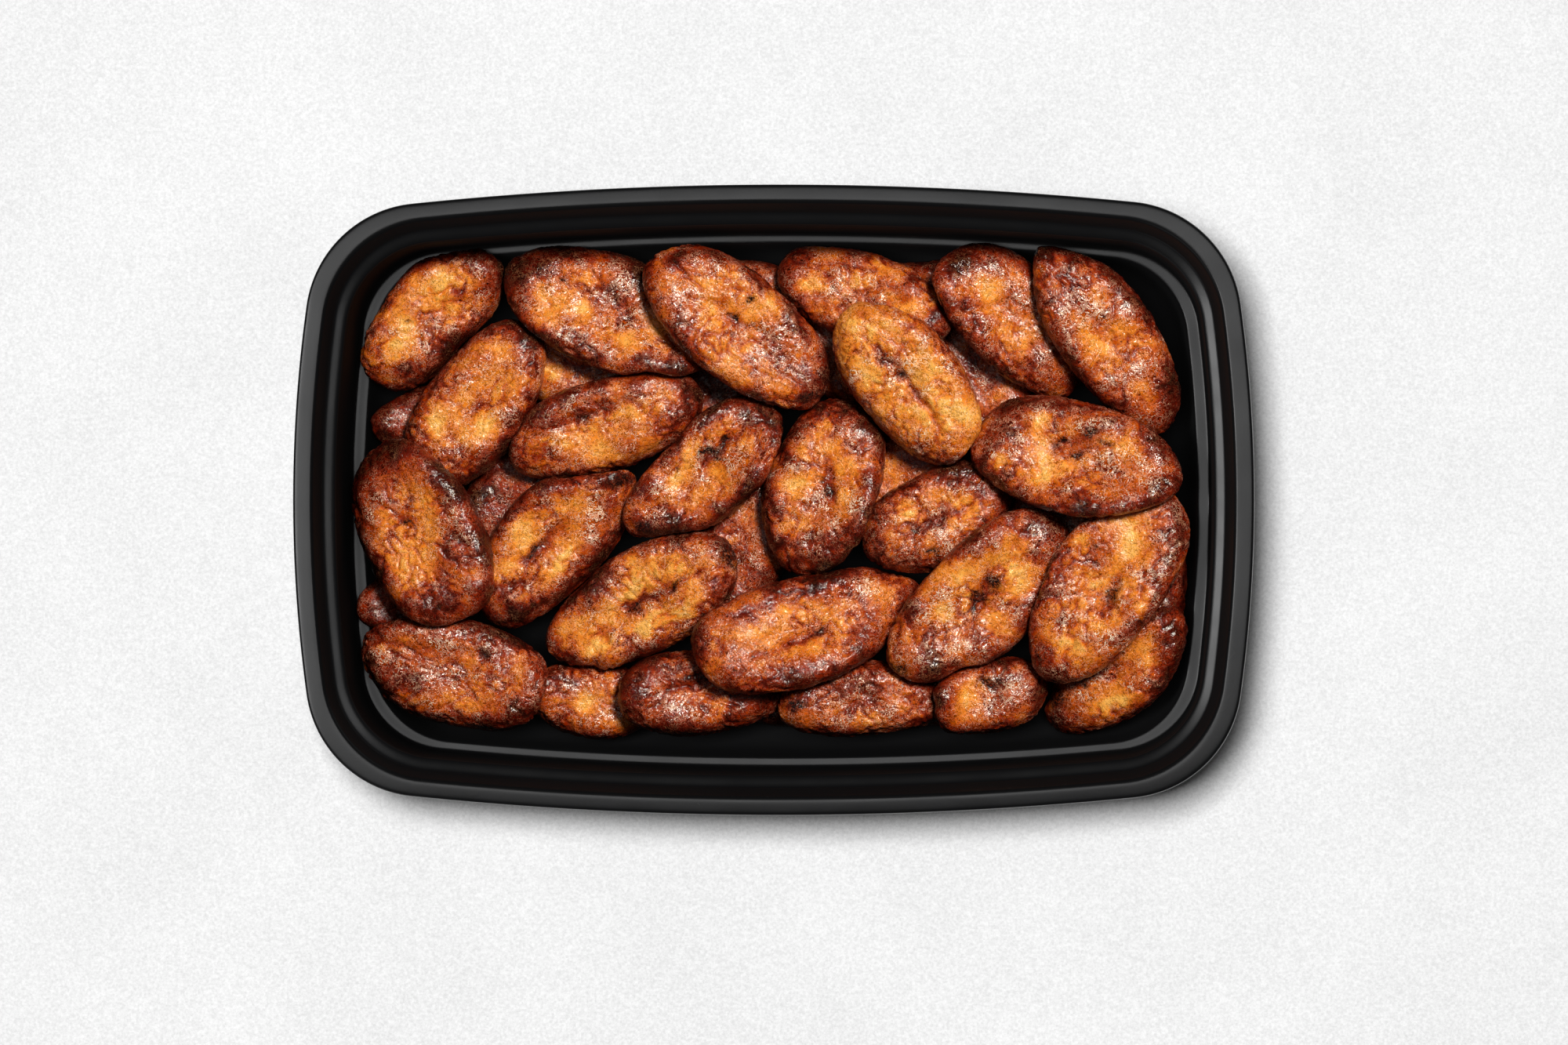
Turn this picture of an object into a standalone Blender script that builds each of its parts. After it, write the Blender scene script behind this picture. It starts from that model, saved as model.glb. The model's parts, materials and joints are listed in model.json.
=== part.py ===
"""Baked sweet plantain slices heaped in a rectangular black meal tray.

Units are metres with +Z up. The origin is the centre of the tray's underside, +X runs
along its long side. Lengths below are written in millimetres and scaled by MM.
"""
import math

import bmesh
import bpy
import numpy as np

MM = 0.001

# ---------------------------------------------------------------- tray dimensions (mm)
RIM_HALF_X = 113.0        # half length over the rim
RIM_HALF_Y = 74.0         # half width over the rim
RIM_CORNER = 28.0         # plan radius of the rim's corners
SHORT_SIDE_BOW = 330.0    # plan radius of the gently bowed short sides
LONG_SIDE_BOW = 845.0     # plan radius of the gently bowed long sides
TRAY_HEIGHT = 40.0
END_RIM_WIDTH = 4.4       # flat top of the rim at the two short ends
SIDE_RIM_WIDTH = 4.1      # and along the two long sides
RIM_ROUND = 0.8           # drop of the rim's outer edge
SKIRT_DROP = 4.0          # the rim's turned-down outer lip
STEP_DEPTH = 3.8          # from the rim down to the upper ledge
UPPER_LEDGE_X = 103.1     # inner edge of the upper ledge
UPPER_LEDGE_Y = 64.4
LOWER_LEDGE_Z = 11.4      # level of the lower ledge
LOWER_LEDGE_X = 98.9      # inner edge of the lower ledge
LOWER_LEDGE_Y = 60.9
FLOOR_TOP = 1.2           # thickness of the floor
CORNER_STEPS = 6          # facets of each corner
LONG_STEPS = 6            # facets of each long side
SHORT_STEPS = 4           # facets of each short side

RIM_INNER_X = RIM_HALF_X - END_RIM_WIDTH
RIM_INNER_Y = RIM_HALF_Y - SIDE_RIM_WIDTH
STEP_Z = TRAY_HEIGHT - STEP_DEPTH
SKIRT_Z = TRAY_HEIGHT - SKIRT_DROP

# The tray is a stack of rings: half length, half width, corner radius, height.
INSIDE_RINGS = (
    (91.0, 53.5, 14.0, FLOOR_TOP),
    (94.6, 57.0, 16.5, FLOOR_TOP + 0.8),
    (96.9, 59.2, 18.0, FLOOR_TOP + 3.0),
    (98.2, 60.3, 19.0, 8.5),
    (LOWER_LEDGE_X - 0.3, LOWER_LEDGE_Y - 0.2, 19.3, LOWER_LEDGE_Z - 0.8),
    (LOWER_LEDGE_X + 0.2, LOWER_LEDGE_Y + 0.2, 19.6, LOWER_LEDGE_Z - 0.2),
    (LOWER_LEDGE_X + 3.0, LOWER_LEDGE_Y + 1.8, 20.3, LOWER_LEDGE_Z + 0.3),
    (LOWER_LEDGE_X + 3.5, LOWER_LEDGE_Y + 2.2, 20.8, LOWER_LEDGE_Z + 1.2),
    (UPPER_LEDGE_X, UPPER_LEDGE_Y, 21.6, STEP_Z - 1.6),
    (UPPER_LEDGE_X + 0.4, UPPER_LEDGE_Y + 0.4, 22.0, STEP_Z - 0.6),
    (UPPER_LEDGE_X + 2.9, UPPER_LEDGE_Y + 2.8, 24.0, STEP_Z),
    (UPPER_LEDGE_X + 3.6, UPPER_LEDGE_Y + 3.5, 24.6, STEP_Z + 0.8),
    (RIM_INNER_X - 0.7, RIM_INNER_Y - 0.7, 25.6, TRAY_HEIGHT - 0.8),
    (RIM_INNER_X, RIM_INNER_Y, 26.0, TRAY_HEIGHT),
)
OUTSIDE_RINGS = (
    (RIM_HALF_X - RIM_ROUND, RIM_HALF_Y - RIM_ROUND, 27.6, TRAY_HEIGHT),
    (RIM_HALF_X, RIM_HALF_Y, RIM_CORNER, TRAY_HEIGHT - RIM_ROUND),
    (RIM_HALF_X, RIM_HALF_Y, RIM_CORNER, SKIRT_Z),
    (RIM_HALF_X - 0.9, RIM_HALF_Y - 0.9, 27.6, SKIRT_Z),
    (RIM_HALF_X - 1.0, RIM_HALF_Y - 1.0, 27.5, TRAY_HEIGHT - 1.2),
    (RIM_INNER_X + 0.7, RIM_INNER_Y + 0.7, 26.3, TRAY_HEIGHT - 1.2),
    (UPPER_LEDGE_X + 4.6, UPPER_LEDGE_Y + 4.5, 25.3, STEP_Z - 0.8),
    (UPPER_LEDGE_X + 1.3, UPPER_LEDGE_Y + 1.3, 22.6, STEP_Z - 1.6),
    (UPPER_LEDGE_X + 1.0, UPPER_LEDGE_Y + 1.0, 22.3, STEP_Z - 2.6),
    (LOWER_LEDGE_X + 4.4, LOWER_LEDGE_Y + 3.1, 21.4, LOWER_LEDGE_Z + 0.8),
    (LOWER_LEDGE_X + 3.7, LOWER_LEDGE_Y + 2.5, 20.8, LOWER_LEDGE_Z - 0.6),
    (LOWER_LEDGE_X + 1.0, LOWER_LEDGE_Y + 1.0, 20.0, LOWER_LEDGE_Z - 1.1),
    (LOWER_LEDGE_X + 0.6, LOWER_LEDGE_Y + 0.7, 19.8, LOWER_LEDGE_Z - 2.0),
    (LOWER_LEDGE_X + 0.2, LOWER_LEDGE_Y + 0.3, 19.5, 4.4),
    (97.6, 59.9, 18.4, 1.6),
    (94.8, 57.2, 16.6, 0.3),
    (92.5, 55.0, 15.0, 0.0),
)

# ---------------------------------------------------------------- slice shape (mm)
GAP = 0.32                # clear space kept between touching pieces
SOFT_SINK = 3.4           # how far a soft slice settles over what is under it
YIELDING = 0.05           # share of its underside that yields further than that
CARRYING_SHARE = 0.92     # the part of a slice, from its centre out, that carries it
MAX_TILT = 0.18           # steepest slope of a resting slice
TILT_STEPS = 19           # slopes tried in each direction
TILT_COST = 25.0          # how strongly a slice prefers to lie level
CELL = 0.5                # grid spacing of the height map that the slices rest on
MIN_BODY = 4.2            # least thickness left where a slice is pressed from below
RISE_SHARE = 0.56         # share of a slice's thickness above its widest line
# Share of the way to the outline, and share of the rise or drop, from the middle out or in.
TOP_RINGS = ((0.40, 0.985), (0.68, 0.90), (0.87, 0.66), (0.965, 0.37))
BOTTOM_RINGS = ((0.93, 0.52), (0.68, 0.93))
TOP_CENTRE = 0.95         # the middle of a slice is slightly sunken
TOP_FOLLOWS = (0.12, 0.36, 0.68, 0.92)   # how far each top ring rises with the pressed edge
EDGE_YIELD = 0.60         # how far an edge bends up, as a share of the rise, before it draws in
DRAW_IN_STEP = 0.02       # share of the radius that a blocked outline gives up at a time
DRAW_IN_ROUNDS = 14
PRESS_ROUNDS = 6
UPPER_SEGMENTS = 18       # facets round a slice of the upper layers
LOWER_SEGMENTS = 16       # and round one of the bottom layer
ALONG_POWER = 0.95        # how full a slice's outline is along its length
OUTLINE_DIRECTIONS = 360  # directions in which an outline's reach is looked up
WOBBLE = 0.016            # uneven outline, as a share of the radius
WOBBLE_ORDERS = (3, 5)    # waves round the outline
WOBBLE_SLICE_PHASE = 1.7  # radians between one slice and the next
WOBBLE_ORDER_PHASE = 0.9  # radians between one order and the next
FLAT_FACET = 1e-9         # plan area, mm2, under which a facet stands on edge
EDGE_SLACK = 1e-6         # lets a facet own the cells exactly on its border

# Each slice: name, centre x, centre y, length, width, thickness, turn in degrees. They are
# placed in this order, each on the ones before. These are nearly covered by the others.
LOWER_SLICES = (
    ("under_01", -81.0, 19.5, 33.0, 17.0, 12.0, 10),
    ("under_02", -47.5, 31.0, 38.0, 22.0, 13.0, -15),
    ("under_03", -65.0, -0.5, 37.0, 21.0, 12.0, 60),
    ("under_04", -86.0, -24.0, 30.0, 16.5, 12.0, 8),
    ("under_05", 48.0, 28.5, 34.0, 21.0, 12.0, -55),
    ("under_06", 28.0, 5.0, 36.0, 21.0, 12.0, 30),
    ("under_07", -9.0, -11.0, 39.0, 22.5, 13.5, 65),
    ("under_08", -15.5, 24.0, 30.0, 17.0, 11.0, 72),
    ("under_09", -9.0, 48.5, 33.0, 17.5, 11.5, -5),
    ("under_10", 34.0, 48.5, 34.0, 17.5, 11.5, 3),
    ("under_11", 67.0, -5.5, 34.0, 19.0, 12.5, 12),
    ("under_12", 87.5, -14.0, 44.0, 17.5, 12.5, -84),
    ("under_13", 39.0, -45.5, 30.0, 17.0, 9.5, 2),
    ("under_14", 0.5, -46.5, 28.0, 14.5, 9.5, -4),
    ("under_15", -73.0, -43.0, 33.0, 18.0, 11.0, -18),
    ("under_16", 14.0, 34.5, 26.0, 17.0, 11.5, -62),
)
# Power of the tip and of the tail, and how far each stands to the left of the long axis.
LOWER_ENDS = (0.94, 0.92, 0.5, 0.5)

# The slices that show carry their own ends: a power under 1 is full, over 1 is pointed.
UPPER_SLICES = (
    ("edge_01", -44.5, -47.5, 30.0, 18.5, 15.0, -6, 0.92, 0.92, 0.0, 0.0),
    ("edge_02", -19.0, -45.5, 38.5, 20.5, 14.0, 4, 1.10, 0.85, -2.0, 0.0),
    ("edge_03", 19.5, -47.0, 39.0, 18.0, 13.5, 4, 1.10, 0.75, -2.5, -0.5),
    ("edge_04", 50.0, -46.5, 28.5, 17.5, 13.5, 12, 0.85, 0.90, 0.5, -0.8),
    ("edge_05", 81.0, -42.0, 41.0, 18.5, 14.5, 38, 0.85, 0.85, 3.0, 2.5),
    ("slice_01", -71.5, 22.5, 45.0, 24.5, 13.0, 52, 0.95, 0.78, 2.0, 0.0),
    ("slice_02", -77.0, -41.0, 45.5, 25.5, 13.5, -12, 0.76, 0.92, 0.3, 1.5),
    ("slice_03", 20.5, 48.0, 43.5, 21.5, 12.0, -19, 1.00, 0.95, -1.0, 0.0),
    ("slice_04", 56.0, 43.5, 44.0, 24.5, 13.5, -47, 0.90, 0.95, -1.5, -2.5),
    ("slice_05", -41.0, 17.5, 48.5, 22.0, 13.5, 16, 0.95, 0.85, 2.0, 0.0),
    ("slice_06", -40.0, 44.5, 53.0, 27.5, 13.5, -24, 1.25, 1.00, -2.8, -0.8),
    ("slice_07", -54.0, -9.0, 49.5, 25.0, 13.5, 47, 1.15, 0.90, -3.0, -2.0),
    ("slice_08", 37.5, -4.5, 38.0, 22.5, 13.5, 28, 0.90, 1.05, 0.5, 1.5),
    ("slice_09", 11.0, 3.0, 43.0, 27.0, 14.0, 70, 0.92, 0.95, 1.5, 0.0),
    ("slice_10", -32.5, -24.5, 51.5, 25.5, 14.0, 31, 0.95, 0.85, -1.0, -1.0),
    ("slice_11", 7.0, -30.0, 55.0, 27.0, 14.0, 21, 1.15, 0.80, 0.0, 2.0),
    ("slice_12", 48.0, -24.0, 54.5, 26.5, 14.0, 49, 1.00, 0.90, -0.3, 3.0),
    ("slice_13", 78.0, -19.5, 53.0, 27.5, 12.0, 54, 1.15, 1.00, -0.8, -1.0),
    ("slice_14", -17.5, 6.5, 46.0, 23.5, 13.5, 42, 0.86, 1.05, 0.0, -0.3),
    ("slice_15", -9.5, 41.5, 52.0, 25.5, 14.0, -41, 0.82, 1.05, 0.0, -1.5),
    ("slice_16", 78.0, 38.5, 52.5, 23.0, 13.0, -55, 1.10, 1.30, -0.6, -0.6),
    ("slice_17", -84.5, -8.0, 46.5, 29.0, 13.5, -63, 0.78, 0.92, 1.0, 0.8),
    ("slice_18", -82.5, 43.5, 42.0, 24.0, 13.5, 51, 0.85, 0.95, -2.0, 0.8),
    ("slice_19", 71.0, 10.0, 50.5, 27.0, 12.5, -13, 1.15, 0.83, 0.3, -0.8),
    ("slice_20", 31.0, 28.0, 44.5, 25.0, 13.0, -50, 0.88, 0.92, 0.0, 0.0),
)
DARK_SLICES = ("under_01", "under_03", "under_04", "under_08", "slice_02", "slice_13")
PALE_SLICES = ("slice_06", "slice_15", "slice_20", "slice_11", "slice_07")

# Colour and roughness of each finish.
BLACK_PLASTIC = ((0.022, 0.022, 0.024, 1.0), 0.34)
AMBER = ((0.56, 0.215, 0.045, 1.0), 0.40)
PALE_AMBER = ((0.66, 0.29, 0.075, 1.0), 0.38)
DARK_BROWN = ((0.30, 0.085, 0.028, 1.0), 0.42)


def clear_scene():
    for item in list(bpy.data.objects):
        bpy.data.objects.remove(item, do_unlink=True)


def make_material(name, finish):
    colour, roughness = finish
    material = bpy.data.materials.new(name)
    material.use_nodes = True
    shader = material.node_tree.nodes["Principled BSDF"]
    shader.inputs["Base Color"].default_value = colour
    shader.inputs["Roughness"].default_value = roughness
    material.diffuse_color = colour
    return material


def arc(centre, radius, start, stop, steps):
    """Points along an arc, from start up to but not including stop."""
    angles = [start + (stop - start) * k / steps for k in range(steps)]
    return [(centre[0] + radius * math.cos(a), centre[1] + radius * math.sin(a)) for a in angles]


def bowed_ring(half_x, half_y, corner):
    """A rectangle with bowed sides and round corners, counterclockwise from +X."""
    side_x = (half_x - SHORT_SIDE_BOW, 0.0)
    side_y = (0.0, half_y - LONG_SIDE_BOW)
    reach_x = SHORT_SIDE_BOW - corner
    reach_y = LONG_SIDE_BOW - corner
    span = math.hypot(side_y[0] - side_x[0], side_y[1] - side_x[1])
    along = (reach_x ** 2 - reach_y ** 2 + span ** 2) / (2 * span)
    offset = math.sqrt(reach_x ** 2 - along ** 2)
    unit = ((side_y[0] - side_x[0]) / span, (side_y[1] - side_x[1]) / span)
    centre = (side_x[0] + along * unit[0] - offset * unit[1],
              side_x[1] + along * unit[1] + offset * unit[0])
    low = math.atan2(centre[1] - side_x[1], centre[0] - side_x[0])
    high = math.atan2(centre[1] - side_y[1], centre[0] - side_y[0])
    quarter = arc(side_x, SHORT_SIDE_BOW, 0.0, low, SHORT_STEPS // 2)
    quarter += arc(centre, corner, low, high, CORNER_STEPS)
    quarter += arc(side_y, LONG_SIDE_BOW, high, math.pi / 2, LONG_STEPS // 2)
    top = [(0.0, half_y)]
    second = [(-x, y) for x, y in reversed(quarter[1:])]
    upper = quarter + top + second
    lower = [(-x, -y) for x, y in upper]
    return upper + lower


def mesh_from_rings(rings, first_cap, last_cap):
    """Faces over rings of equal length, closed by a fan at each end."""
    count = len(rings[0])
    points = [first_cap]
    for ring in rings:
        points.extend(ring)
    points.append(last_cap)
    faces = [(0, 1 + k, 1 + (k + 1) % count) for k in range(count)]
    for level in range(len(rings) - 1):
        low = 1 + level * count
        high = low + count
        for k in range(count):
            after = (k + 1) % count
            faces.append((low + k, high + k, high + after))
            faces.append((low + k, high + after, low + after))
    last = len(points) - 1
    base = 1 + (len(rings) - 1) * count
    faces += [(base + k, last, base + (k + 1) % count) for k in range(count)]
    return points, faces


def add_object(name, points, faces, material, location=(0.0, 0.0, 0.0), turn=0.0, parent=None):
    mesh = bpy.data.meshes.new(name)
    mesh.from_pydata([tuple(MM * c for c in point) for point in points], [], faces)
    shape = bmesh.new()
    shape.from_mesh(mesh)
    bmesh.ops.recalc_face_normals(shape, faces=shape.faces[:])
    shape.to_mesh(mesh)
    shape.free()
    mesh.shade_smooth()
    mesh.materials.append(material)
    item = bpy.data.objects.new(name, mesh)
    item.location = tuple(MM * c for c in location)
    item.rotation_euler = (0.0, 0.0, turn)
    item.parent = parent
    bpy.context.scene.collection.objects.link(item)
    return item


# ---------------------------------------------------------------- height map
GRID_X = np.arange(-RIM_HALF_X, RIM_HALF_X + CELL, CELL)
GRID_Y = np.arange(-RIM_HALF_Y, RIM_HALF_Y + CELL, CELL)


def raster(points, faces, pick_top):
    """Height of a mesh over each grid cell: its top, or its underside."""
    empty = -np.inf if pick_top else np.inf
    heights = np.full((len(GRID_Y), len(GRID_X)), empty)
    owner = np.full(heights.shape, -1)
    for number, face in enumerate(faces):
        a, b, c = (points[k] for k in face)
        area = (b[0] - a[0]) * (c[1] - a[1]) - (b[1] - a[1]) * (c[0] - a[0])
        if abs(area) < FLAT_FACET:
            continue
        xs = (min(a[0], b[0], c[0]), max(a[0], b[0], c[0]))
        ys = (min(a[1], b[1], c[1]), max(a[1], b[1], c[1]))
        i0, i1 = np.searchsorted(GRID_X, xs[0]), np.searchsorted(GRID_X, xs[1], "right")
        j0, j1 = np.searchsorted(GRID_Y, ys[0]), np.searchsorted(GRID_Y, ys[1], "right")
        if i0 >= i1 or j0 >= j1:
            continue
        x, y = np.meshgrid(GRID_X[i0:i1], GRID_Y[j0:j1])
        wb = ((x - a[0]) * (c[1] - a[1]) - (y - a[1]) * (c[0] - a[0])) / area
        wc = ((b[0] - a[0]) * (y - a[1]) - (b[1] - a[1]) * (x - a[0])) / area
        wa = 1.0 - wb - wc
        inside = (wa > -EDGE_SLACK) & (wb > -EDGE_SLACK) & (wc > -EDGE_SLACK)
        z = wa * a[2] + wb * b[2] + wc * c[2]
        window = heights[j0:j1, i0:i1]
        marks = owner[j0:j1, i0:i1]
        better = inside & (z > window if pick_top else z < window)
        window[better] = z[better]
        marks[better] = number
    return heights, owner


def widened(heights):
    """Each cell takes the highest value around it, so steep flanks keep their distance."""
    padded = np.pad(heights, 1, mode="edge")
    rows, columns = heights.shape
    shifts = [padded[j:j + rows, i:i + columns] for j in range(3) for i in range(3)]
    return np.max(shifts, axis=0)


def look_up(heights, x, y):
    """Height in the grid cell of each plan point."""
    i = np.clip(np.rint((x - GRID_X[0]) / CELL).astype(int), 0, len(GRID_X) - 1)
    j = np.clip(np.rint((y - GRID_Y[0]) / CELL).astype(int), 0, len(GRID_Y) - 1)
    return heights[j, i]


def tray_ground(rings):
    """The tray's inside as a height map, with its walls as high ground."""
    inner = rings[:len(INSIDE_RINGS)]
    points, faces = mesh_from_rings(inner, (0.0, 0.0, FLOOR_TOP), (0.0, 0.0, TRAY_HEIGHT))
    faces = [face for face in faces if len(points) - 1 not in face]
    heights, _ = raster(points, faces, True)
    heights[np.isneginf(heights)] = TRAY_HEIGHT
    return heights


# ---------------------------------------------------------------- plantain slices
class Slice:
    """One slice: an uneven pillow with its widest line on a tilted plane."""

    def __init__(self, number, row):
        self.name, self.x, self.y, self.length, self.width, self.thick = row[:6]
        self.turn = math.radians(row[6])
        self.tip, self.tail, self.tip_side, self.tail_side = row[7:]
        self.segments = LOWER_SEGMENTS if self.name.startswith("under") else UPPER_SEGMENTS
        self.angles = (np.arange(self.segments) + 0.5) * 2 * math.pi / self.segments
        self.phases = [number * WOBBLE_SLICE_PHASE + order * WOBBLE_ORDER_PHASE
                       for order in WOBBLE_ORDERS]
        self.rise = self.thick * RISE_SHARE
        self.drop = self.thick - self.rise
        self.shrink = np.ones(self.segments)
        around = np.arange(OUTLINE_DIRECTIONS) * 2 * math.pi / OUTLINE_DIRECTIONS
        u, v = self.outline(1.0, around)
        self.directions, self.reaches = np.arctan2(v, u), np.hypot(u, v)

    def outline(self, share, angles, shrink=1.0):
        """Local plan points at a share of the way from the centre to the outline."""
        c, s = np.cos(angles), np.sin(angles)
        wobble = sum(np.cos(order * angles + phase)
                     for order, phase in zip(WOBBLE_ORDERS, self.phases))
        reach = share * shrink * (1.0 + WOBBLE * wobble)
        along = np.sign(c) * np.abs(c) ** ALONG_POWER
        across = np.sign(s) * np.abs(s) ** np.where(c > 0, self.tip, self.tail)
        side = np.where(c > 0, self.tip_side, self.tail_side) * along ** 2
        return reach * self.length / 2 * along, reach * (self.width / 2 * across + side)

    def to_world(self, u, v):
        c, s = math.cos(self.turn), math.sin(self.turn)
        return self.x + u * c - v * s, self.y + u * s + v * c

    def share_of(self, x, y):
        """How far each plan point lies from the centre, as a share of the outline."""
        c, s = math.cos(self.turn), math.sin(self.turn)
        u = (x - self.x) * c + (y - self.y) * s
        v = (y - self.y) * c - (x - self.x) * s
        reach = np.interp(np.arctan2(v, u), self.directions, self.reaches, period=2 * math.pi)
        return np.hypot(u, v) / reach

    def underside(self, share):
        shares = [0.0] + [ring[0] for ring in reversed(BOTTOM_RINGS)] + [1.0]
        depths = [1.0] + [ring[1] for ring in reversed(BOTTOM_RINGS)] + [0.0]
        return -self.drop * np.interp(share, shares, depths)

    def rest(self, ground):
        """Settle on the lowest steady plane over the ground."""
        x, y = np.meshgrid(GRID_X, GRID_Y)
        near = self.share_of(x, y) <= CARRYING_SHARE
        dx, dy = x[near] - self.x, y[near] - self.y
        level = ground[near] + GAP - SOFT_SINK - self.underside(self.share_of(x[near], y[near]))
        carried = int(len(level) * (1.0 - YIELDING))
        slopes = np.linspace(-MAX_TILT, MAX_TILT, TILT_STEPS)
        best = None
        for slope_x in slopes:
            heights = level - slope_x * dx
            for slope_y in slopes:
                height = np.partition(heights - slope_y * dy, carried)[carried]
                height += TILT_COST * (slope_x ** 2 + slope_y ** 2)
                if best is None or height < best[0]:
                    best = (height, slope_x, slope_y)
        self.slopes = best[1:]
        self.height = best[0] - TILT_COST * (best[1] ** 2 + best[2] ** 2)
        floor_level = FLOOR_TOP + GAP + self.drop
        self.height = max(self.height, floor_level)

    def plane(self, x, y):
        return self.height + self.slopes[0] * (x - self.x) + self.slopes[1] * (y - self.y)

    def clear_outline(self, ground):
        """Draw the outline in where higher ground stands against it."""
        for _ in range(DRAW_IN_ROUNDS):
            x, y = self.to_world(*self.outline(1.0, self.angles, self.shrink))
            blocked = look_up(ground, x, y) + GAP > self.plane(x, y) + EDGE_YIELD * self.rise
            if not blocked.any():
                break
            self.shrink[blocked] -= DRAW_IN_STEP
            beside = 0.5 * (np.roll(self.shrink, 1) + np.roll(self.shrink, -1))
            self.shrink = np.minimum(self.shrink, 0.5 * (self.shrink + beside) + DRAW_IN_STEP / 2)

    def build(self, ground):
        """World points and faces, pressed up wherever the ground is in the way."""
        self.rest(ground)
        self.clear_outline(ground)
        levels = [(share, self.rise * level) for share, level in TOP_RINGS]
        levels += [(1.0, 0.0)]
        levels += [(share, -self.drop * level) for share, level in BOTTOM_RINGS]
        rings = []
        for share, level in levels:
            x, y = self.to_world(*self.outline(share, self.angles, self.shrink))
            ring = np.stack([x, y, self.plane(x, y) + level], axis=1)
            rings.append([tuple(point) for point in ring])
        top_centre = (self.x, self.y, self.height + self.rise * TOP_CENTRE)
        low_centre = (self.x, self.y, self.height - self.drop)
        points, faces = mesh_from_rings(rings, top_centre, low_centre)
        points = np.array(points)
        under = [face for face in faces if min(face) >= 1 + len(TOP_RINGS) * self.segments]
        self.press(points, under, ground)
        self.keep_body(points, under)
        return points, faces

    def press(self, points, under, ground):
        """Lift the underside clear of the ground, and let the top follow it smoothly."""
        count = self.segments
        rim = 1 + len(TOP_RINGS) * count
        for _ in range(PRESS_ROUNDS):
            heights, owner = raster(points, under, False)
            short = ground + GAP - heights
            short[owner < 0] = -np.inf
            if short.max() <= 0.0:
                break
            lift = np.zeros(len(points))
            for j, i in zip(*np.nonzero(short > 0.0)):
                corners = list(under[owner[j, i]])
                lift[corners] = np.maximum(lift[corners], short[j, i])
            points[:, 2] += lift
            edge = lift[rim:rim + count]
            edge = np.maximum(edge, 0.5 * (np.roll(edge, 1) + np.roll(edge, -1)))
            for ring, follow in enumerate(TOP_FOLLOWS):
                start = 1 + ring * count
                points[start:start + count, 2] += follow * edge

    def keep_body(self, points, under):
        """Raise the top where the pressed underside has come too near to it."""
        heights, owner = raster(points, under, False)
        heights[owner < 0] = -np.inf
        count = self.segments
        body = [MIN_BODY] + [MIN_BODY * math.sqrt(1.0 - share ** 2) for share, _ in TOP_RINGS]
        for ring, least in enumerate(body):
            start = 0 if ring == 0 else 1 + (ring - 1) * count
            stop = 1 if ring == 0 else start + count
            spots = points[start:stop]
            low = look_up(heights, spots[:, 0], spots[:, 1])
            points[start:stop, 2] = np.maximum(spots[:, 2], low + least)


def slice_finish(name):
    if name in DARK_SLICES:
        return DARK_BROWN
    if name in PALE_SLICES:
        return PALE_AMBER
    return AMBER


def build_tray(parent):
    rings = [[(x, y, z) for x, y in bowed_ring(half_x, half_y, corner)]
             for half_x, half_y, corner, z in INSIDE_RINGS + OUTSIDE_RINGS]
    points, faces = mesh_from_rings(rings, (0.0, 0.0, FLOOR_TOP), (0.0, 0.0, 0.0))
    plastic = make_material("tray", BLACK_PLASTIC)
    add_object("tray", points, faces, plastic, parent=parent)
    return rings


def build_slices(rings, parent):
    ground = tray_ground(rings)
    rows = [row + LOWER_ENDS for row in LOWER_SLICES] + list(UPPER_SLICES)
    for number, row in enumerate(rows):
        piece = Slice(number, row)
        points, faces = piece.build(widened(ground))
        c, s = math.cos(piece.turn), math.sin(piece.turn)
        dx, dy = points[:, 0] - piece.x, points[:, 1] - piece.y
        local = np.stack([dx * c + dy * s, dy * c - dx * s, points[:, 2] - piece.height], axis=1)
        flesh = make_material(piece.name, slice_finish(piece.name))
        add_object(piece.name, local.tolist(), faces, flesh,
                   (piece.x, piece.y, piece.height), piece.turn, parent)
        top, owner = raster(points, faces, True)
        ground = np.maximum(ground, np.where(owner < 0, -np.inf, top))


def main():
    clear_scene()
    frame = bpy.data.objects.new("plantain_tray", None)
    bpy.context.scene.collection.objects.link(frame)
    rings = build_tray(frame)
    build_slices(rings, frame)


main()
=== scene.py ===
"""Looks for a heap of baked sweet plantain in its meal tray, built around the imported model.

Tables and shape code work in millimetres; MM turns them into metres.
"""
import itertools
import json
import math

import bpy
import numpy as np
from mathutils import Matrix, Vector


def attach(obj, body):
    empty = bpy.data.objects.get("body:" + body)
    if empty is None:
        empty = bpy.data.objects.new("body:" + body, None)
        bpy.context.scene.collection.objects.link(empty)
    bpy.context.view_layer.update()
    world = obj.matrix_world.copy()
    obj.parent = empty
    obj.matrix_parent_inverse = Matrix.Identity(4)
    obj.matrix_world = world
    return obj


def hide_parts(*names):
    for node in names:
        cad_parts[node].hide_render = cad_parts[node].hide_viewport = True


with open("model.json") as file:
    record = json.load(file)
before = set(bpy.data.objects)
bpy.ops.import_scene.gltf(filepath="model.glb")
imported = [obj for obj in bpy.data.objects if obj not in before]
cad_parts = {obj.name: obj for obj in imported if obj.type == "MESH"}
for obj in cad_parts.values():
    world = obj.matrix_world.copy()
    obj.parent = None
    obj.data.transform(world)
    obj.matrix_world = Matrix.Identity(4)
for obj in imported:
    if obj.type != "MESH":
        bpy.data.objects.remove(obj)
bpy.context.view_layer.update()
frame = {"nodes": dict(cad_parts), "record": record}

MM = 0.001

# ---------------------------------------------------------------- camera, floor, light (m and W)
LENS = 196.0              # focal length in mm, on a sensor of the width below
SENSOR_WIDTH = 36.0
CLIP_START = 0.05
CAMERA_AIM = (0.0029, -0.0053, 0.040)
CAMERA_DISTANCE = 2.0
CAMERA_TILT = 3.76        # degrees off straight down, towards +X
FLOOR_HALF = 3.0
FLOOR_DROP = 0.0003       # keeps the floor clear of the tray's underside
WORLD_LIGHT = 0.03
WHITE = (1.0, 1.0, 1.0)
WARM_WHITE = (1.0, 0.94, 0.82)
LIGHT_AIM = (0.0, 0.0, 0.0)

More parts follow.
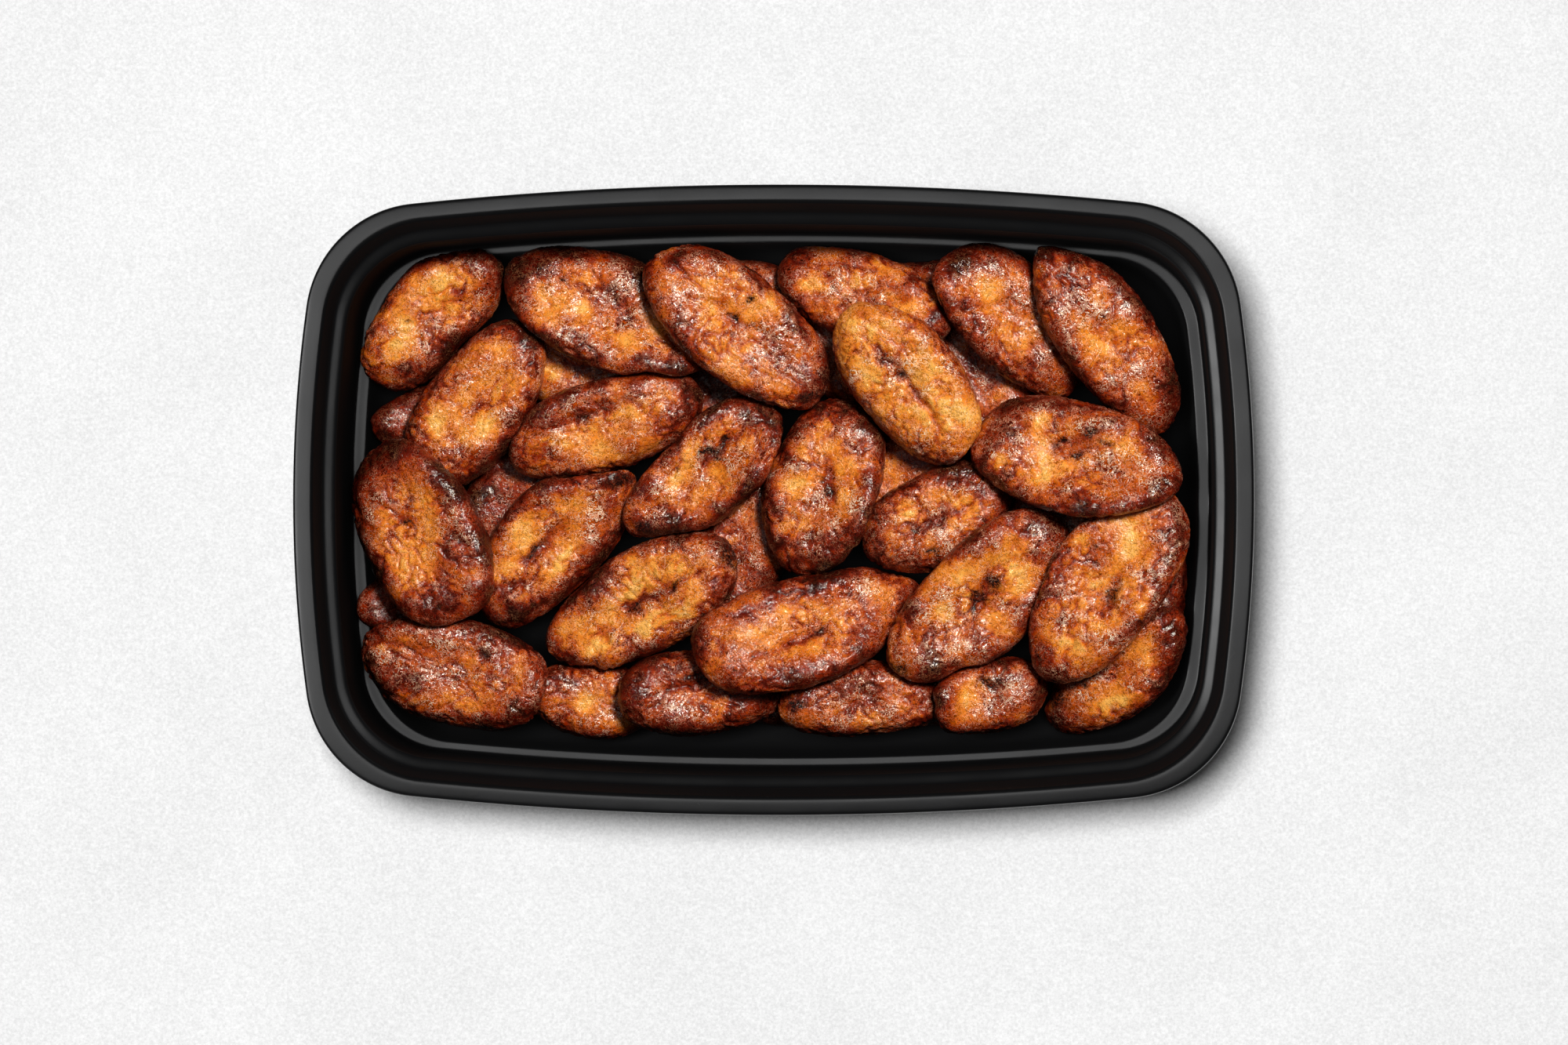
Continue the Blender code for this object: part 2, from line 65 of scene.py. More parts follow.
# Each softbox: name, place, size, power, colour, and the only things that it lights.
SOFTBOXES = (
    ("key", (0.66, 0.66, 1.9), (0.48, 0.48), 54.0, WARM_WHITE, "slices"),
    ("fill", (-0.30, 0.30, 2.1), (1.2, 1.2), 2.0, WHITE, "slices"),
    ("tray_sheen", (-0.02, 0.15, 2.3), (1.45, 0.7), 26.6, WHITE, "tray"),
    ("tray_gleam", (-1.02, 0.00, 2.3), (0.6, 0.4), 24.0, WHITE, "tray"),
    ("tray_back", (1.5, 1.5, 0.75), (2.0, 1.0), 3.0, WHITE, "tray"),
    ("tray_front", (-1.4, -1.4, 1.3), (2.0, 1.0), 5.0, WHITE, "tray"),
    ("floor_light", (-0.09, 0.20, 2.2), (0.5, 0.5), 50.0, WHITE, "floor"),
)

# ---------------------------------------------------------------- slice meshes (mm)
POLE_SPOKES = 12          # a vertex with this many edges is a slice's top or bottom centre
# The levels of a packed slice, from its top centre at 0 over its widest line at 1 to its bottom
# centre at 2. A point's share is its place on this scale.
RING_SHARES = (0.0, 0.40, 0.68, 0.87, 0.965, 1.0, 1.07, 1.32, 2.0)
GUIDE_RING = 4            # the widest line, counted among the rings between the two centres
FLANK_END = 7             # the level in RING_SHARES where the finely meshed part ends
UPPER_STEP = 0.52         # mesh step down a slice that shows
LOWER_STEP = 0.95         # and down one that is mostly covered
HIDDEN_STEP = 2.4         # and over the underside of both
HIDDEN_LEVELS = 3         # fewest levels of the underside
UPPER_COLUMNS = 224       # mesh columns round a slice that shows
LOWER_COLUMNS = 128       # and round one that is mostly covered

# ---------------------------------------------------------------- skin of a slice (mm)
# Its noises: cell size and seed.
NOISES = {
    "warp_x": (3.2, 11), "warp_y": (3.2, 12),
    "broad": (9.0, 1), "middle": (4.2, 2), "fine": (1.15, 4),
    "rough": (7.5, 7), "folds": (3.6, 3), "wrinkles": (1.9, 6), "glaze": (2.2, 8),
}
WARP_REACH = 1.3          # how far the border of a mark strays
FOLD_WARP = 0.7           # share of it by which folds and wrinkles wander
LINE_WARP = 0.5           # share of it by which seams and ridges wander
ROUGH_SPAN = (-0.45, 0.35)    # noise between which the skin turns from smooth to folded
FOLD_WIDTH = 0.20         # noise on either side of zero that makes a fold
WRINKLE_WIDTH = 0.24      # and a wrinkle
LEAST_WRINKLES = 0.35     # share of the wrinkles that smooth skin keeps

# Heights, and the shares between which they come or go.
BROAD_LIFT, MIDDLE_LIFT, FINE_LIFT = 0.50, 0.24, 0.14
FOLD_DEPTH, WRINKLE_DEPTH = 0.42, 0.20
CROWN_SPAN = (0.86, 1.12)     # the swellings end here
RELIEF_SPAN = (1.02, 1.35)    # and folds, wrinkles and what is left of the noise here
RIM_LIFT, RIM_SHARE, RIM_WIDTH = 0.34, 0.80, 0.14     # a raised rim
DIP_DEPTH, DIP_SPAN = 0.35, (0.15, 0.62)              # a sunken middle
FLANK_DEPTH, FLANK_SPAN = 0.16, (1.0, 1.15)           # a drawn-in flank

# Browning, 0 for golden to 1 for nearly black, with painted shade on folds, wrinkles and the flank.
EDGE_SPAN, EDGE_WAVER = (0.62, 0.98), 0.12
EDGE_BROWN, EDGE_EVEN, EDGE_BROAD = 1.25, 0.75, 0.6
# The fold and wrinkle terms are painted shade, darker browning along their creases.
BROAD_BROWN, MIDDLE_BROWN, FOLD_PAINTED_SHADE, WRINKLE_PAINTED_SHADE = 0.20, 0.11, 0.22, 0.13
ALL_PALER = 0.06
DIP_PALER, PALE_SPAN = 0.12, (0.35, 0.75)
# Painted shade down the flank and underside, darker from the widest line down.
FLANK_PAINTED_SHADE, FLANK_SHADE_SPAN = 0.25, (0.98, 1.25)

# Glaze, 0 for none to 1 for thick: it sets the coat's weight and how many pale painted glints the skin
# gets.
GLAZE_GAIN, GLAZE_SPAN = 1.3, (-0.1, 0.6)
GLAZE_BROAD, GLAZE_MIDDLE, GLAZE_FINE = 0.5, 0.6, 0.25

# What a mark of strength 1 adds: height, browning, char and glaze, which also brings painted glints. The
# third kind is mostly a patch of glaze with painted highlights.
MARK_EFFECTS = {
    "gold": (0.0, -0.30, 0.0, -0.10),
    "brown": (0.0, 0.30, 0.0, 0.0),
    "glaze_glint": (0.0, 0.05, 0.0, 0.90),
    "char": (-0.18, 0.0, 1.8, 0.0),
    "pit": (-0.9, 0.0, 0.9, 0.0),
    "seam": (-0.8, 0.22, 0.0, 0.0),
    "ridge": (0.8, -0.10, 0.0, 0.0),
}
PATCH_END = 1.2           # share past which a slice has no patches
LINE_END = 1.1            # and past which it has no seams or ridges
PATCH_EDGE = 1.3          # how sharply a patch ends: 1 is softest

# Browning of each slice: overall, extra along its rim, and glaze, which also sets its painted glints.
# Tuned against the photo.
TONES = {
    "slice_01": (0.40, 0.34, 0.45), "slice_02": (0.42, 0.28, 0.60), "slice_03": (0.42, 0.26, 0.45),
    "slice_04": (0.45, 0.30, 0.50), "slice_05": (0.45, 0.28, 0.50), "slice_06": (0.46, 0.32, 0.60),
    "slice_07": (0.42, 0.32, 0.45), "slice_08": (0.44, 0.28, 0.50), "slice_09": (0.44, 0.30, 0.60),
    "slice_10": (0.36, 0.26, 0.45), "slice_11": (0.50, 0.24, 0.15), "slice_12": (0.40, 0.26, 0.65),
    "slice_13": (0.37, 0.22, 0.80), "slice_14": (0.43, 0.32, 0.55), "slice_15": (0.42, 0.26, 0.60),
    "slice_16": (0.45, 0.28, 0.65), "slice_17": (0.46, 0.34, 0.60), "slice_18": (0.38, 0.34, 0.45),
    "slice_19": (0.43, 0.28, 0.95), "slice_20": (0.29, 0.14, 0.80),
    "edge_01": (0.45, 0.22, 0.45), "edge_02": (0.60, 0.22, 0.35), "edge_03": (0.50, 0.22, 0.45),
    "edge_04": (0.52, 0.22, 0.50), "edge_05": (0.48, 0.22, 0.55),
    # The under_ rows, mostly darker, paint the shade that the low, covered slices lie in.
    "under_01": (0.72, 0.10, 0.50), "under_02": (0.46, 0.10, 0.40), "under_03": (0.70, 0.10, 0.50),
    "under_04": (0.74, 0.10, 0.50), "under_05": (0.58, 0.10, 0.50), "under_06": (0.56, 0.10, 0.40),
    "under_07": (0.58, 0.10, 0.40), "under_08": (0.74, 0.10, 0.40), "under_09": (0.58, 0.10, 0.40),
    "under_10": (0.58, 0.10, 0.40), "under_11": (0.64, 0.10, 0.50), "under_12": (0.56, 0.14, 0.50),
    "under_13": (0.62, 0.10, 0.40), "under_14": (0.62, 0.10, 0.40), "under_15": (0.62, 0.10, 0.40),
    "under_16": (0.60, 0.10, 0.40),
}

# Marks on the slices, seen from above. Each was picked and sized in the photo, in pixels, then
# turned into mm and rounded, as was each line of the next table. Separate scripts then turned the
# pixels into mm and rounded them, so this table and the next are their output. Kind, centre x and
# y, half length, half width, turn in degrees, strength.
PATCHES = {
    "slice_18": (
        ("gold", -88.5, 38.5, 6.0, 3.0, 60, 0.9), ("gold", -79.5, 53.0, 7.5, 3.0, 40, 0.9),
        ("brown", -75.5, 49.5, 3.0, 2.0, 30, 0.7), ("brown", -80.0, 36.5, 5.0, 1.7, 35, 0.6),
        ("pit", -87.5, 41.5, 0.7, 0.6, 60, 1.0), ("brown", -87.0, 31.0, 6.0, 1.5, 10, 0.5),
    ),
    "slice_01": (
        ("gold", -82.5, 18.0, 5.5, 2.5, 55, 0.6), ("gold", -70.0, 17.0, 5.0, 3.0, 50, 0.8),
        ("brown", -71.0, 23.0, 3.5, 1.7, 55, 0.7), ("brown", -77.5, 17.0, 2.5, 2.0, 50, 0.5),
        ("brown", -62.0, 38.0, 5.0, 2.5, -20, 0.6),
    ),
    "slice_06": (
        ("gold", -53.5, 49.0, 4.5, 3.0, -20, 0.7), ("gold", -46.5, 44.5, 3.5, 3.0, -40, 0.6),
        ("gold", -34.0, 37.5, 5.0, 2.5, -20, 0.7), ("brown", -55.5, 53.5, 3.5, 1.7, -10, 0.8),
        ("brown", -40.0, 46.0, 5.5, 3.5, -35, 0.6), ("char", -50.5, 52.5, 0.9, 0.7, 0, 0.5),
        ("glaze_glint", -35.0, 53.0, 6.0, 2.0, -25, 0.7), ("glaze_glint", -28.5, 32.5, 7.5, 1.1, -5, 0.6),
    ),
    "slice_05": (
        ("gold", -52.5, 14.0, 5.0, 2.0, 25, 0.8), ("gold", -34.0, 21.0, 3.5, 2.5, 10, 0.7),
        ("char", -45.0, 20.0, 2.0, 1.1, 20, 0.5), ("brown", -44.5, 21.0, 5.5, 2.0, 25, 0.7),
        ("brown", -54.0, 18.0, 3.5, 1.5, 25, 0.5), ("brown", -21.5, 26.0, 3.0, 3.0, 0, 0.6),
        ("glaze_glint", -33.5, 22.0, 5.5, 2.0, 20, 0.4),
    ),
    "slice_15": (
        ("gold", -8.5, 53.5, 5.0, 2.0, -50, 0.8), ("gold", -0.5, 46.5, 5.0, 1.7, -55, 0.7),
        ("gold", -15.5, 45.0, 3.5, 1.5, -60, 0.5), ("gold", -5.0, 35.5, 4.0, 2.0, -50, 0.5),
        ("brown", -11.0, 44.0, 5.5, 2.0, -50, 0.6), ("brown", 2.0, 33.0, 5.5, 3.0, -45, 0.6),
        ("brown", -22.5, 54.0, 4.0, 2.5, -50, 0.7), ("char", -6.0, 47.5, 0.9, 0.7, 0, 0.9),
        ("pit", -6.0, 47.5, 0.6, 0.4, 0, 0.7), ("char", -3.5, 50.5, 0.6, 0.4, 0, 0.7),
        ("char", -9.5, 43.5, 1.3, 0.7, -40, 0.7), ("char", 8.5, 24.5, 3.5, 1.3, 15, 0.9),
        ("char", 12.5, 28.5, 1.5, 2.5, 0, 0.6), ("glaze_glint", 4.0, 31.5, 5.0, 2.0, -40, 0.6),
    ),
    "slice_03": (
        ("gold", 7.5, 51.0, 3.5, 2.0, 0, 0.7), ("gold", 19.0, 52.0, 3.5, 2.0, 10, 0.8),
        ("brown", 13.0, 46.5, 4.0, 1.5, -10, 0.6), ("brown", 28.5, 50.0, 4.5, 2.0, -25, 0.7),
        ("brown", 37.0, 43.0, 2.0, 2.5, 0, 0.5),
    ),
    "slice_20": (
        ("gold", 42.0, 21.0, 3.5, 2.5, -50, 1.0), ("gold", 38.5, 31.5, 4.0, 2.0, -50, 0.8),
        ("gold", 20.5, 40.5, 3.5, 1.7, 20, 0.7), ("gold", 22.0, 29.0, 3.5, 2.0, -50, 0.5),
        ("brown", 26.0, 33.5, 3.5, 1.5, -45, 0.6), ("char", 26.0, 33.0, 1.3, 0.7, -50, 0.8),
        ("char", 30.0, 29.5, 1.1, 0.6, -60, 0.6), ("brown", 33.0, 25.5, 3.0, 0.9, -55, 0.5),
    ),
    "slice_04": (
        ("gold", 50.0, 51.0, 4.0, 3.0, 0, 0.8), ("gold", 57.5, 38.5, 5.5, 1.7, -50, 0.5),
        ("brown", 45.0, 45.5, 2.0, 2.0, 0, 0.8), ("char", 44.5, 44.5, 1.1, 0.7, 0, 0.5),
        ("brown", 41.5, 54.0, 2.0, 3.5, 0, 0.6), ("brown", 62.0, 33.5, 6.0, 1.5, -50, 0.4),
    ),
    "slice_16": (
        ("gold", 74.0, 40.0, 6.0, 2.0, -50, 0.4), ("gold", 85.5, 25.5, 3.0, 2.0, 0, 0.5),
        ("brown", 70.5, 49.5, 5.5, 3.0, -55, 0.6), ("brown", 81.5, 36.5, 6.0, 2.0, -55, 0.5),
        ("char", 77.5, 43.0, 0.7, 0.6, 0, 0.5), ("glaze_glint", 75.0, 46.5, 7.5, 2.5, -50, 0.6),
    ),
    "slice_19": (
        ("gold", 62.5, 19.5, 2.5, 2.0, 0, 1.0), ("gold", 52.0, 9.0, 2.5, 2.0, 0, 1.0),
        ("gold", 63.0, 6.0, 3.5, 2.0, 15, 0.8), ("char", 67.5, 14.0, 1.5, 0.9, 0, 0.95),
        ("char", 74.0, 16.0, 1.7, 1.1, 0, 0.9), ("char", 71.0, 11.0, 0.9, 0.6, 30, 0.8),
        ("char", 65.5, 12.5, 1.1, 0.7, 0, 0.6), ("char", 78.0, 13.0, 2.0, 0.7, -20, 0.5),
        ("brown", 68.5, 13.0, 7.5, 3.0, -5, 0.6), ("brown", 57.0, 1.0, 2.0, 0.7, 0, 0.7),
        ("brown", 76.0, 5.0, 7.5, 3.5, 0, 0.5), ("glaze_glint", 81.5, 9.0, 8.5, 3.5, -15, 0.7),
    ),
    "slice_14": (
        ("gold", -20.5, 12.5, 3.0, 2.0, 50, 0.7), ("gold", -7.0, 12.0, 3.0, 2.5, 50, 0.6),
        ("gold", -24.0, 5.0, 4.0, 2.0, 45, 0.5), ("char", -12.0, 14.0, 1.7, 0.9, 35, 0.9),
        ("char", -16.0, 11.0, 2.0, 0.9, 10, 0.9), ("char", -14.5, 9.0, 1.3, 0.6, 0, 0.8),
        ("brown", -14.5, 11.5, 5.0, 2.0, 35, 0.6), ("brown", -2.0, 19.0, 4.0, 2.0, -30, 0.6),
        ("char", -31.5, -7.0, 3.0, 1.7, 0, 0.8), ("char", -24.0, 7.5, 0.6, 0.6, 0, 0.6),
    ),
    "slice_09": (
        ("gold", 6.5, 11.0, 2.5, 2.5, 80, 0.8), ("gold", 4.5, 5.0, 2.5, 2.5, 80, 0.5),
        ("gold", 18.0, 7.0, 2.0, 3.5, 0, 0.4), ("char", 12.5, 2.0, 1.1, 1.3, 0, 0.8),
        ("char", 11.5, 5.0, 0.7, 0.7, 0, 0.6), ("brown", 12.5, 3.5, 2.0, 4.0, 0, 0.6),
        ("brown", 14.5, 20.0, 5.0, 2.0, -20, 0.6), ("brown", 15.0, -9.5, 5.5, 2.5, 20, 0.5),
        ("glaze_glint", 19.0, -3.0, 2.5, 6.0, 0, 0.6),
    ),
    "slice_08": (
        ("gold", 30.5, -3.5, 3.5, 2.0, 30, 0.9), ("gold", 42.0, -5.5, 3.5, 1.3, 25, 0.5),
        ("char", 32.5, -7.0, 1.1, 0.7, 0, 0.9), ("brown", 39.0, -5.0, 6.0, 1.3, 28, 0.8),
        ("char", 36.5, -12.0, 2.0, 0.7, -10, 0.7), ("brown", 40.0, 5.0, 5.5, 2.0, 10, 0.6),
        ("glaze_glint", 42.0, 1.5, 5.0, 1.5, 20, 0.5),
    ),
    "slice_17": (
        ("gold", -91.0, -4.5, 3.5, 4.0, -60, 0.5), ("gold", -88.0, -17.0, 3.5, 3.0, -60, 0.7),
        ("gold", -82.5, -11.5, 2.5, 3.0, -60, 0.5), ("brown", -86.5, -5.0, 2.0, 1.5, 0, 0.7),
        ("char", -87.0, -5.5, 1.1, 0.7, 0, 0.6), ("brown", -91.0, 9.0, 6.0, 3.5, -20, 0.7),
        ("brown", -77.0, -9.5, 2.0, 7.5, -25, 0.5), ("brown", -79.5, -23.5, 6.5, 2.5, 0, 0.7),
        ("glaze_glint", -74.0, -6.5, 2.0, 8.0, 25, 0.8),
    ),
    "slice_07": (
        ("gold", -62.5, -7.0, 3.0, 2.5, 50, 0.8), ("gold", -51.0, -14.5, 4.5, 2.0, 50, 0.8),
        ("gold", -62.0, -23.5, 2.5, 1.7, 20, 0.7), ("char", -57.5, -11.5, 3.5, 0.9, 45, 0.6),
        ("brown", -56.0, -11.0, 6.5, 2.0, 48, 0.8), ("char", -37.0, 5.0, 3.0, 1.7, 0, 0.85),
        ("glaze_glint", -43.0, -0.5, 3.0, 2.5, 50, 0.8), ("brown", -39.5, -2.0, 2.0, 4.0, -20, 0.4),
    ),
    "slice_10": (
        ("gold", -34.0, -21.0, 4.0, 2.0, 40, 0.9), ("gold", -42.5, -35.0, 4.5, 2.0, 30, 0.8),
        ("gold", -31.5, -30.5, 4.0, 2.0, 50, 0.8), ("gold", -26.5, -13.0, 4.0, 1.7, 10, 0.7),
        ("gold", -21.5, -25.5, 3.5, 1.7, 45, 0.8), ("char", -33.5, -25.5, 2.5, 0.9, 35, 0.6),
        ("brown", -34.0, -25.5, 3.5, 2.0, 40, 0.7), ("char", -24.5, -20.5, 2.5, 0.6, 35, 0.6),
        ("char", -11.0, -12.5, 2.5, 2.5, 0, 0.9), ("char", -9.5, -15.0, 0.9, 2.0, 0, 0.8),
        ("brown", -49.0, -38.5, 4.0, 2.0, -20, 0.6), ("glaze_glint", -18.0, -13.5, 3.5, 2.5, 0, 0.6),
    ),
    "slice_11": (
        ("gold", -6.0, -31.0, 4.5, 2.5, 25, 0.8), ("gold", 16.0, -30.0, 6.0, 2.0, 20, 0.4),
        ("gold", 2.5, -26.0, 4.5, 1.3, 20, 0.6), ("char", 9.5, -31.0, 1.7, 0.7, 60, 0.9),
        ("brown", 5.5, -33.5, 4.5, 0.7, 28, 0.8), ("glaze_glint", 20.5, -20.5, 3.5, 2.5, -10, 1.0),
        ("brown", -9.0, -26.5, 5.0, 1.3, 15, 0.7), ("brown", 9.5, -20.5, 9.0, 1.5, 12, 0.5),
        ("char", -9.5, -40.5, 0.6, 0.4, 0, 0.7),
    ),
    "slice_12": (
        ("gold", 57.5, -17.0, 2.5, 3.5, 0, 0.8), ("gold", 39.5, -26.5, 3.5, 2.5, 50, 0.7),
        ("gold", 57.0, -9.5, 3.0, 2.0, 10, 0.6), ("gold", 42.0, -35.5, 3.5, 2.0, 40, 0.4),
        ("char", 51.5, -19.5, 1.5, 2.0, 20, 0.95), ("char", 47.5, -23.5, 2.0, 1.5, 30, 0.9),
        ("char", 46.5, -26.5, 0.7, 1.1, 0, 0.7), ("brown", 49.5, -21.5, 3.5, 5.0, 0, 0.5),
        ("brown", 62.0, -5.5, 3.5, 2.5, 40, 0.6), ("char", 29.0, -40.0, 3.0, 2.0, -20, 0.55),
        ("glaze_glint", 61.5, -8.0, 2.5, 2.5, 0, 0.6), ("glaze_glint", 42.0, -24.5, 3.5, 3.5, 0, 0.4),
    ),
    "slice_13": (
        ("gold", 87.0, -24.5, 2.0, 5.0, -10, 0.9), ("gold", 68.5, -33.0, 3.5, 4.0, 70, 0.8),
        ("gold", 71.0, -9.5, 2.0, 1.5, 0, 0.4), ("gold", 83.5, -9.5, 2.0, 3.5, 0, 0.5),
        ("char", 79.5, -22.5, 2.0, 1.5, 60, 1.0), ("brown", 77.0, -26.0, 2.5, 3.5, 30, 0.6),
        ("brown", 76.0, -12.5, 5.0, 2.5, 45, 0.7), ("brown", 82.5, -32.0, 3.5, 1.5, 30, 0.6),
        ("char", 86.5, -30.0, 1.3, 2.0, 0, 0.6), ("glaze_glint", 80.5, -34.0, 3.5, 2.0, 20, 0.6),
        ("char", 75.0, -10.5, 0.9, 0.7, 0, 0.5),
    ),
    "slice_02": (
        ("brown", -79.5, -41.0, 16.5, 6.0, -8, 0.35), ("gold", -79.5, -48.5, 9.0, 2.0, -6, 0.4),
        ("gold", -91.0, -33.0, 4.0, 1.5, 20, 0.4), ("char", -69.0, -36.0, 2.0, 0.7, -10, 0.5),
        ("char", -56.5, -33.5, 2.5, 2.0, 0, 0.6), ("glaze_glint", -80.0, -40.5, 7.5, 2.0, 0, 0.7),
        ("glaze_glint", -94.5, -37.5, 3.5, 3.5, 0, 0.4),
    ),
    "edge_05": (
        ("gold", 81.5, -47.5, 6.0, 2.0, 20, 0.9), ("char", 65.5, -47.0, 2.5, 3.0, 0, 0.7),
        ("char", 72.0, -43.5, 0.9, 0.6, 0, 0.7), ("brown", 79.0, -40.5, 5.0, 2.0, 25, 0.6),
        ("glaze_glint", 76.0, -42.0, 5.0, 1.7, 20, 0.6), ("brown", 92.5, -39.0, 2.0, 5.0, 0, 0.4),
    ),
    "edge_01": (
        ("gold", -46.0, -47.5, 3.5, 2.5, 10, 0.8), ("glaze_glint", -40.0, -50.5, 3.0, 2.0, -20, 0.8),
        ("brown", -48.5, -44.0, 3.0, 1.1, 0, 0.5),
    ),
    "edge_02": (
        ("gold", -17.0, -51.0, 7.5, 1.5, 5, 0.6), ("glaze_glint", -25.0, -48.0, 4.5, 2.5, -15, 0.8),
        ("char", -17.0, -42.0, 5.0, 1.1, 0, 0.8), ("brown", -22.5, -43.0, 7.5, 1.5, 0, 0.6),
        ("brown", -5.0, -47.0, 3.5, 2.0, 0, 0.5),
    ),
    "edge_03": (
        ("gold", 21.0, -52.0, 6.0, 1.7, 5, 0.8), ("char", 5.0, -48.0, 2.5, 1.5, 0, 0.9),
        ("brown", 14.5, -45.0, 7.5, 1.5, 5, 0.6), ("glaze_glint", 11.0, -48.5, 4.0, 1.5, 0, 0.4),
    ),
    "edge_04": (
        ("char", 51.0, -43.0, 2.5, 1.5, 0, 0.8), ("glaze_glint", 55.0, -45.5, 4.0, 2.0, 0, 0.7),
        ("gold", 44.5, -46.5, 3.0, 2.0, 0, 0.5), ("gold", 48.0, -51.5, 5.5, 1.3, 0, 0.4),
        ("brown", 55.5, -42.0, 3.5, 1.3, 0, 0.6),
    ),
    "under_12": (
        ("brown", 93.5, -23.5, 2.0, 3.5, 0, 0.5), ("gold", 94.0, -20.0, 1.5, 2.0, 0, 0.3),
    ),
    "under_02": (
        ("gold", -54.5, 30.5, 2.5, 1.5, 0, 0.7), ("brown", -48.0, 31.0, 3.0, 1.5, 0, 0.5),
    ),
    "under_05": (
        ("gold", 52.5, 25.5, 2.0, 2.0, 0, 0.6), ("brown", 45.0, 31.0, 3.5, 2.5, -50, 0.7),
        ("glaze_glint", 48.0, 29.5, 3.0, 2.0, -50, 0.5),
    ),
    "under_06": (
        ("gold", 27.5, 7.0, 2.0, 2.5, 0, 0.5), ("brown", 31.0, 9.0, 3.5, 2.0, 0, 0.5),
    ),
    "under_07": (
        ("gold", -11.5, -9.5, 2.5, 3.5, 60, 0.3), ("brown", -9.0, -17.0, 3.5, 4.0, 0, 0.4),
    ),
}

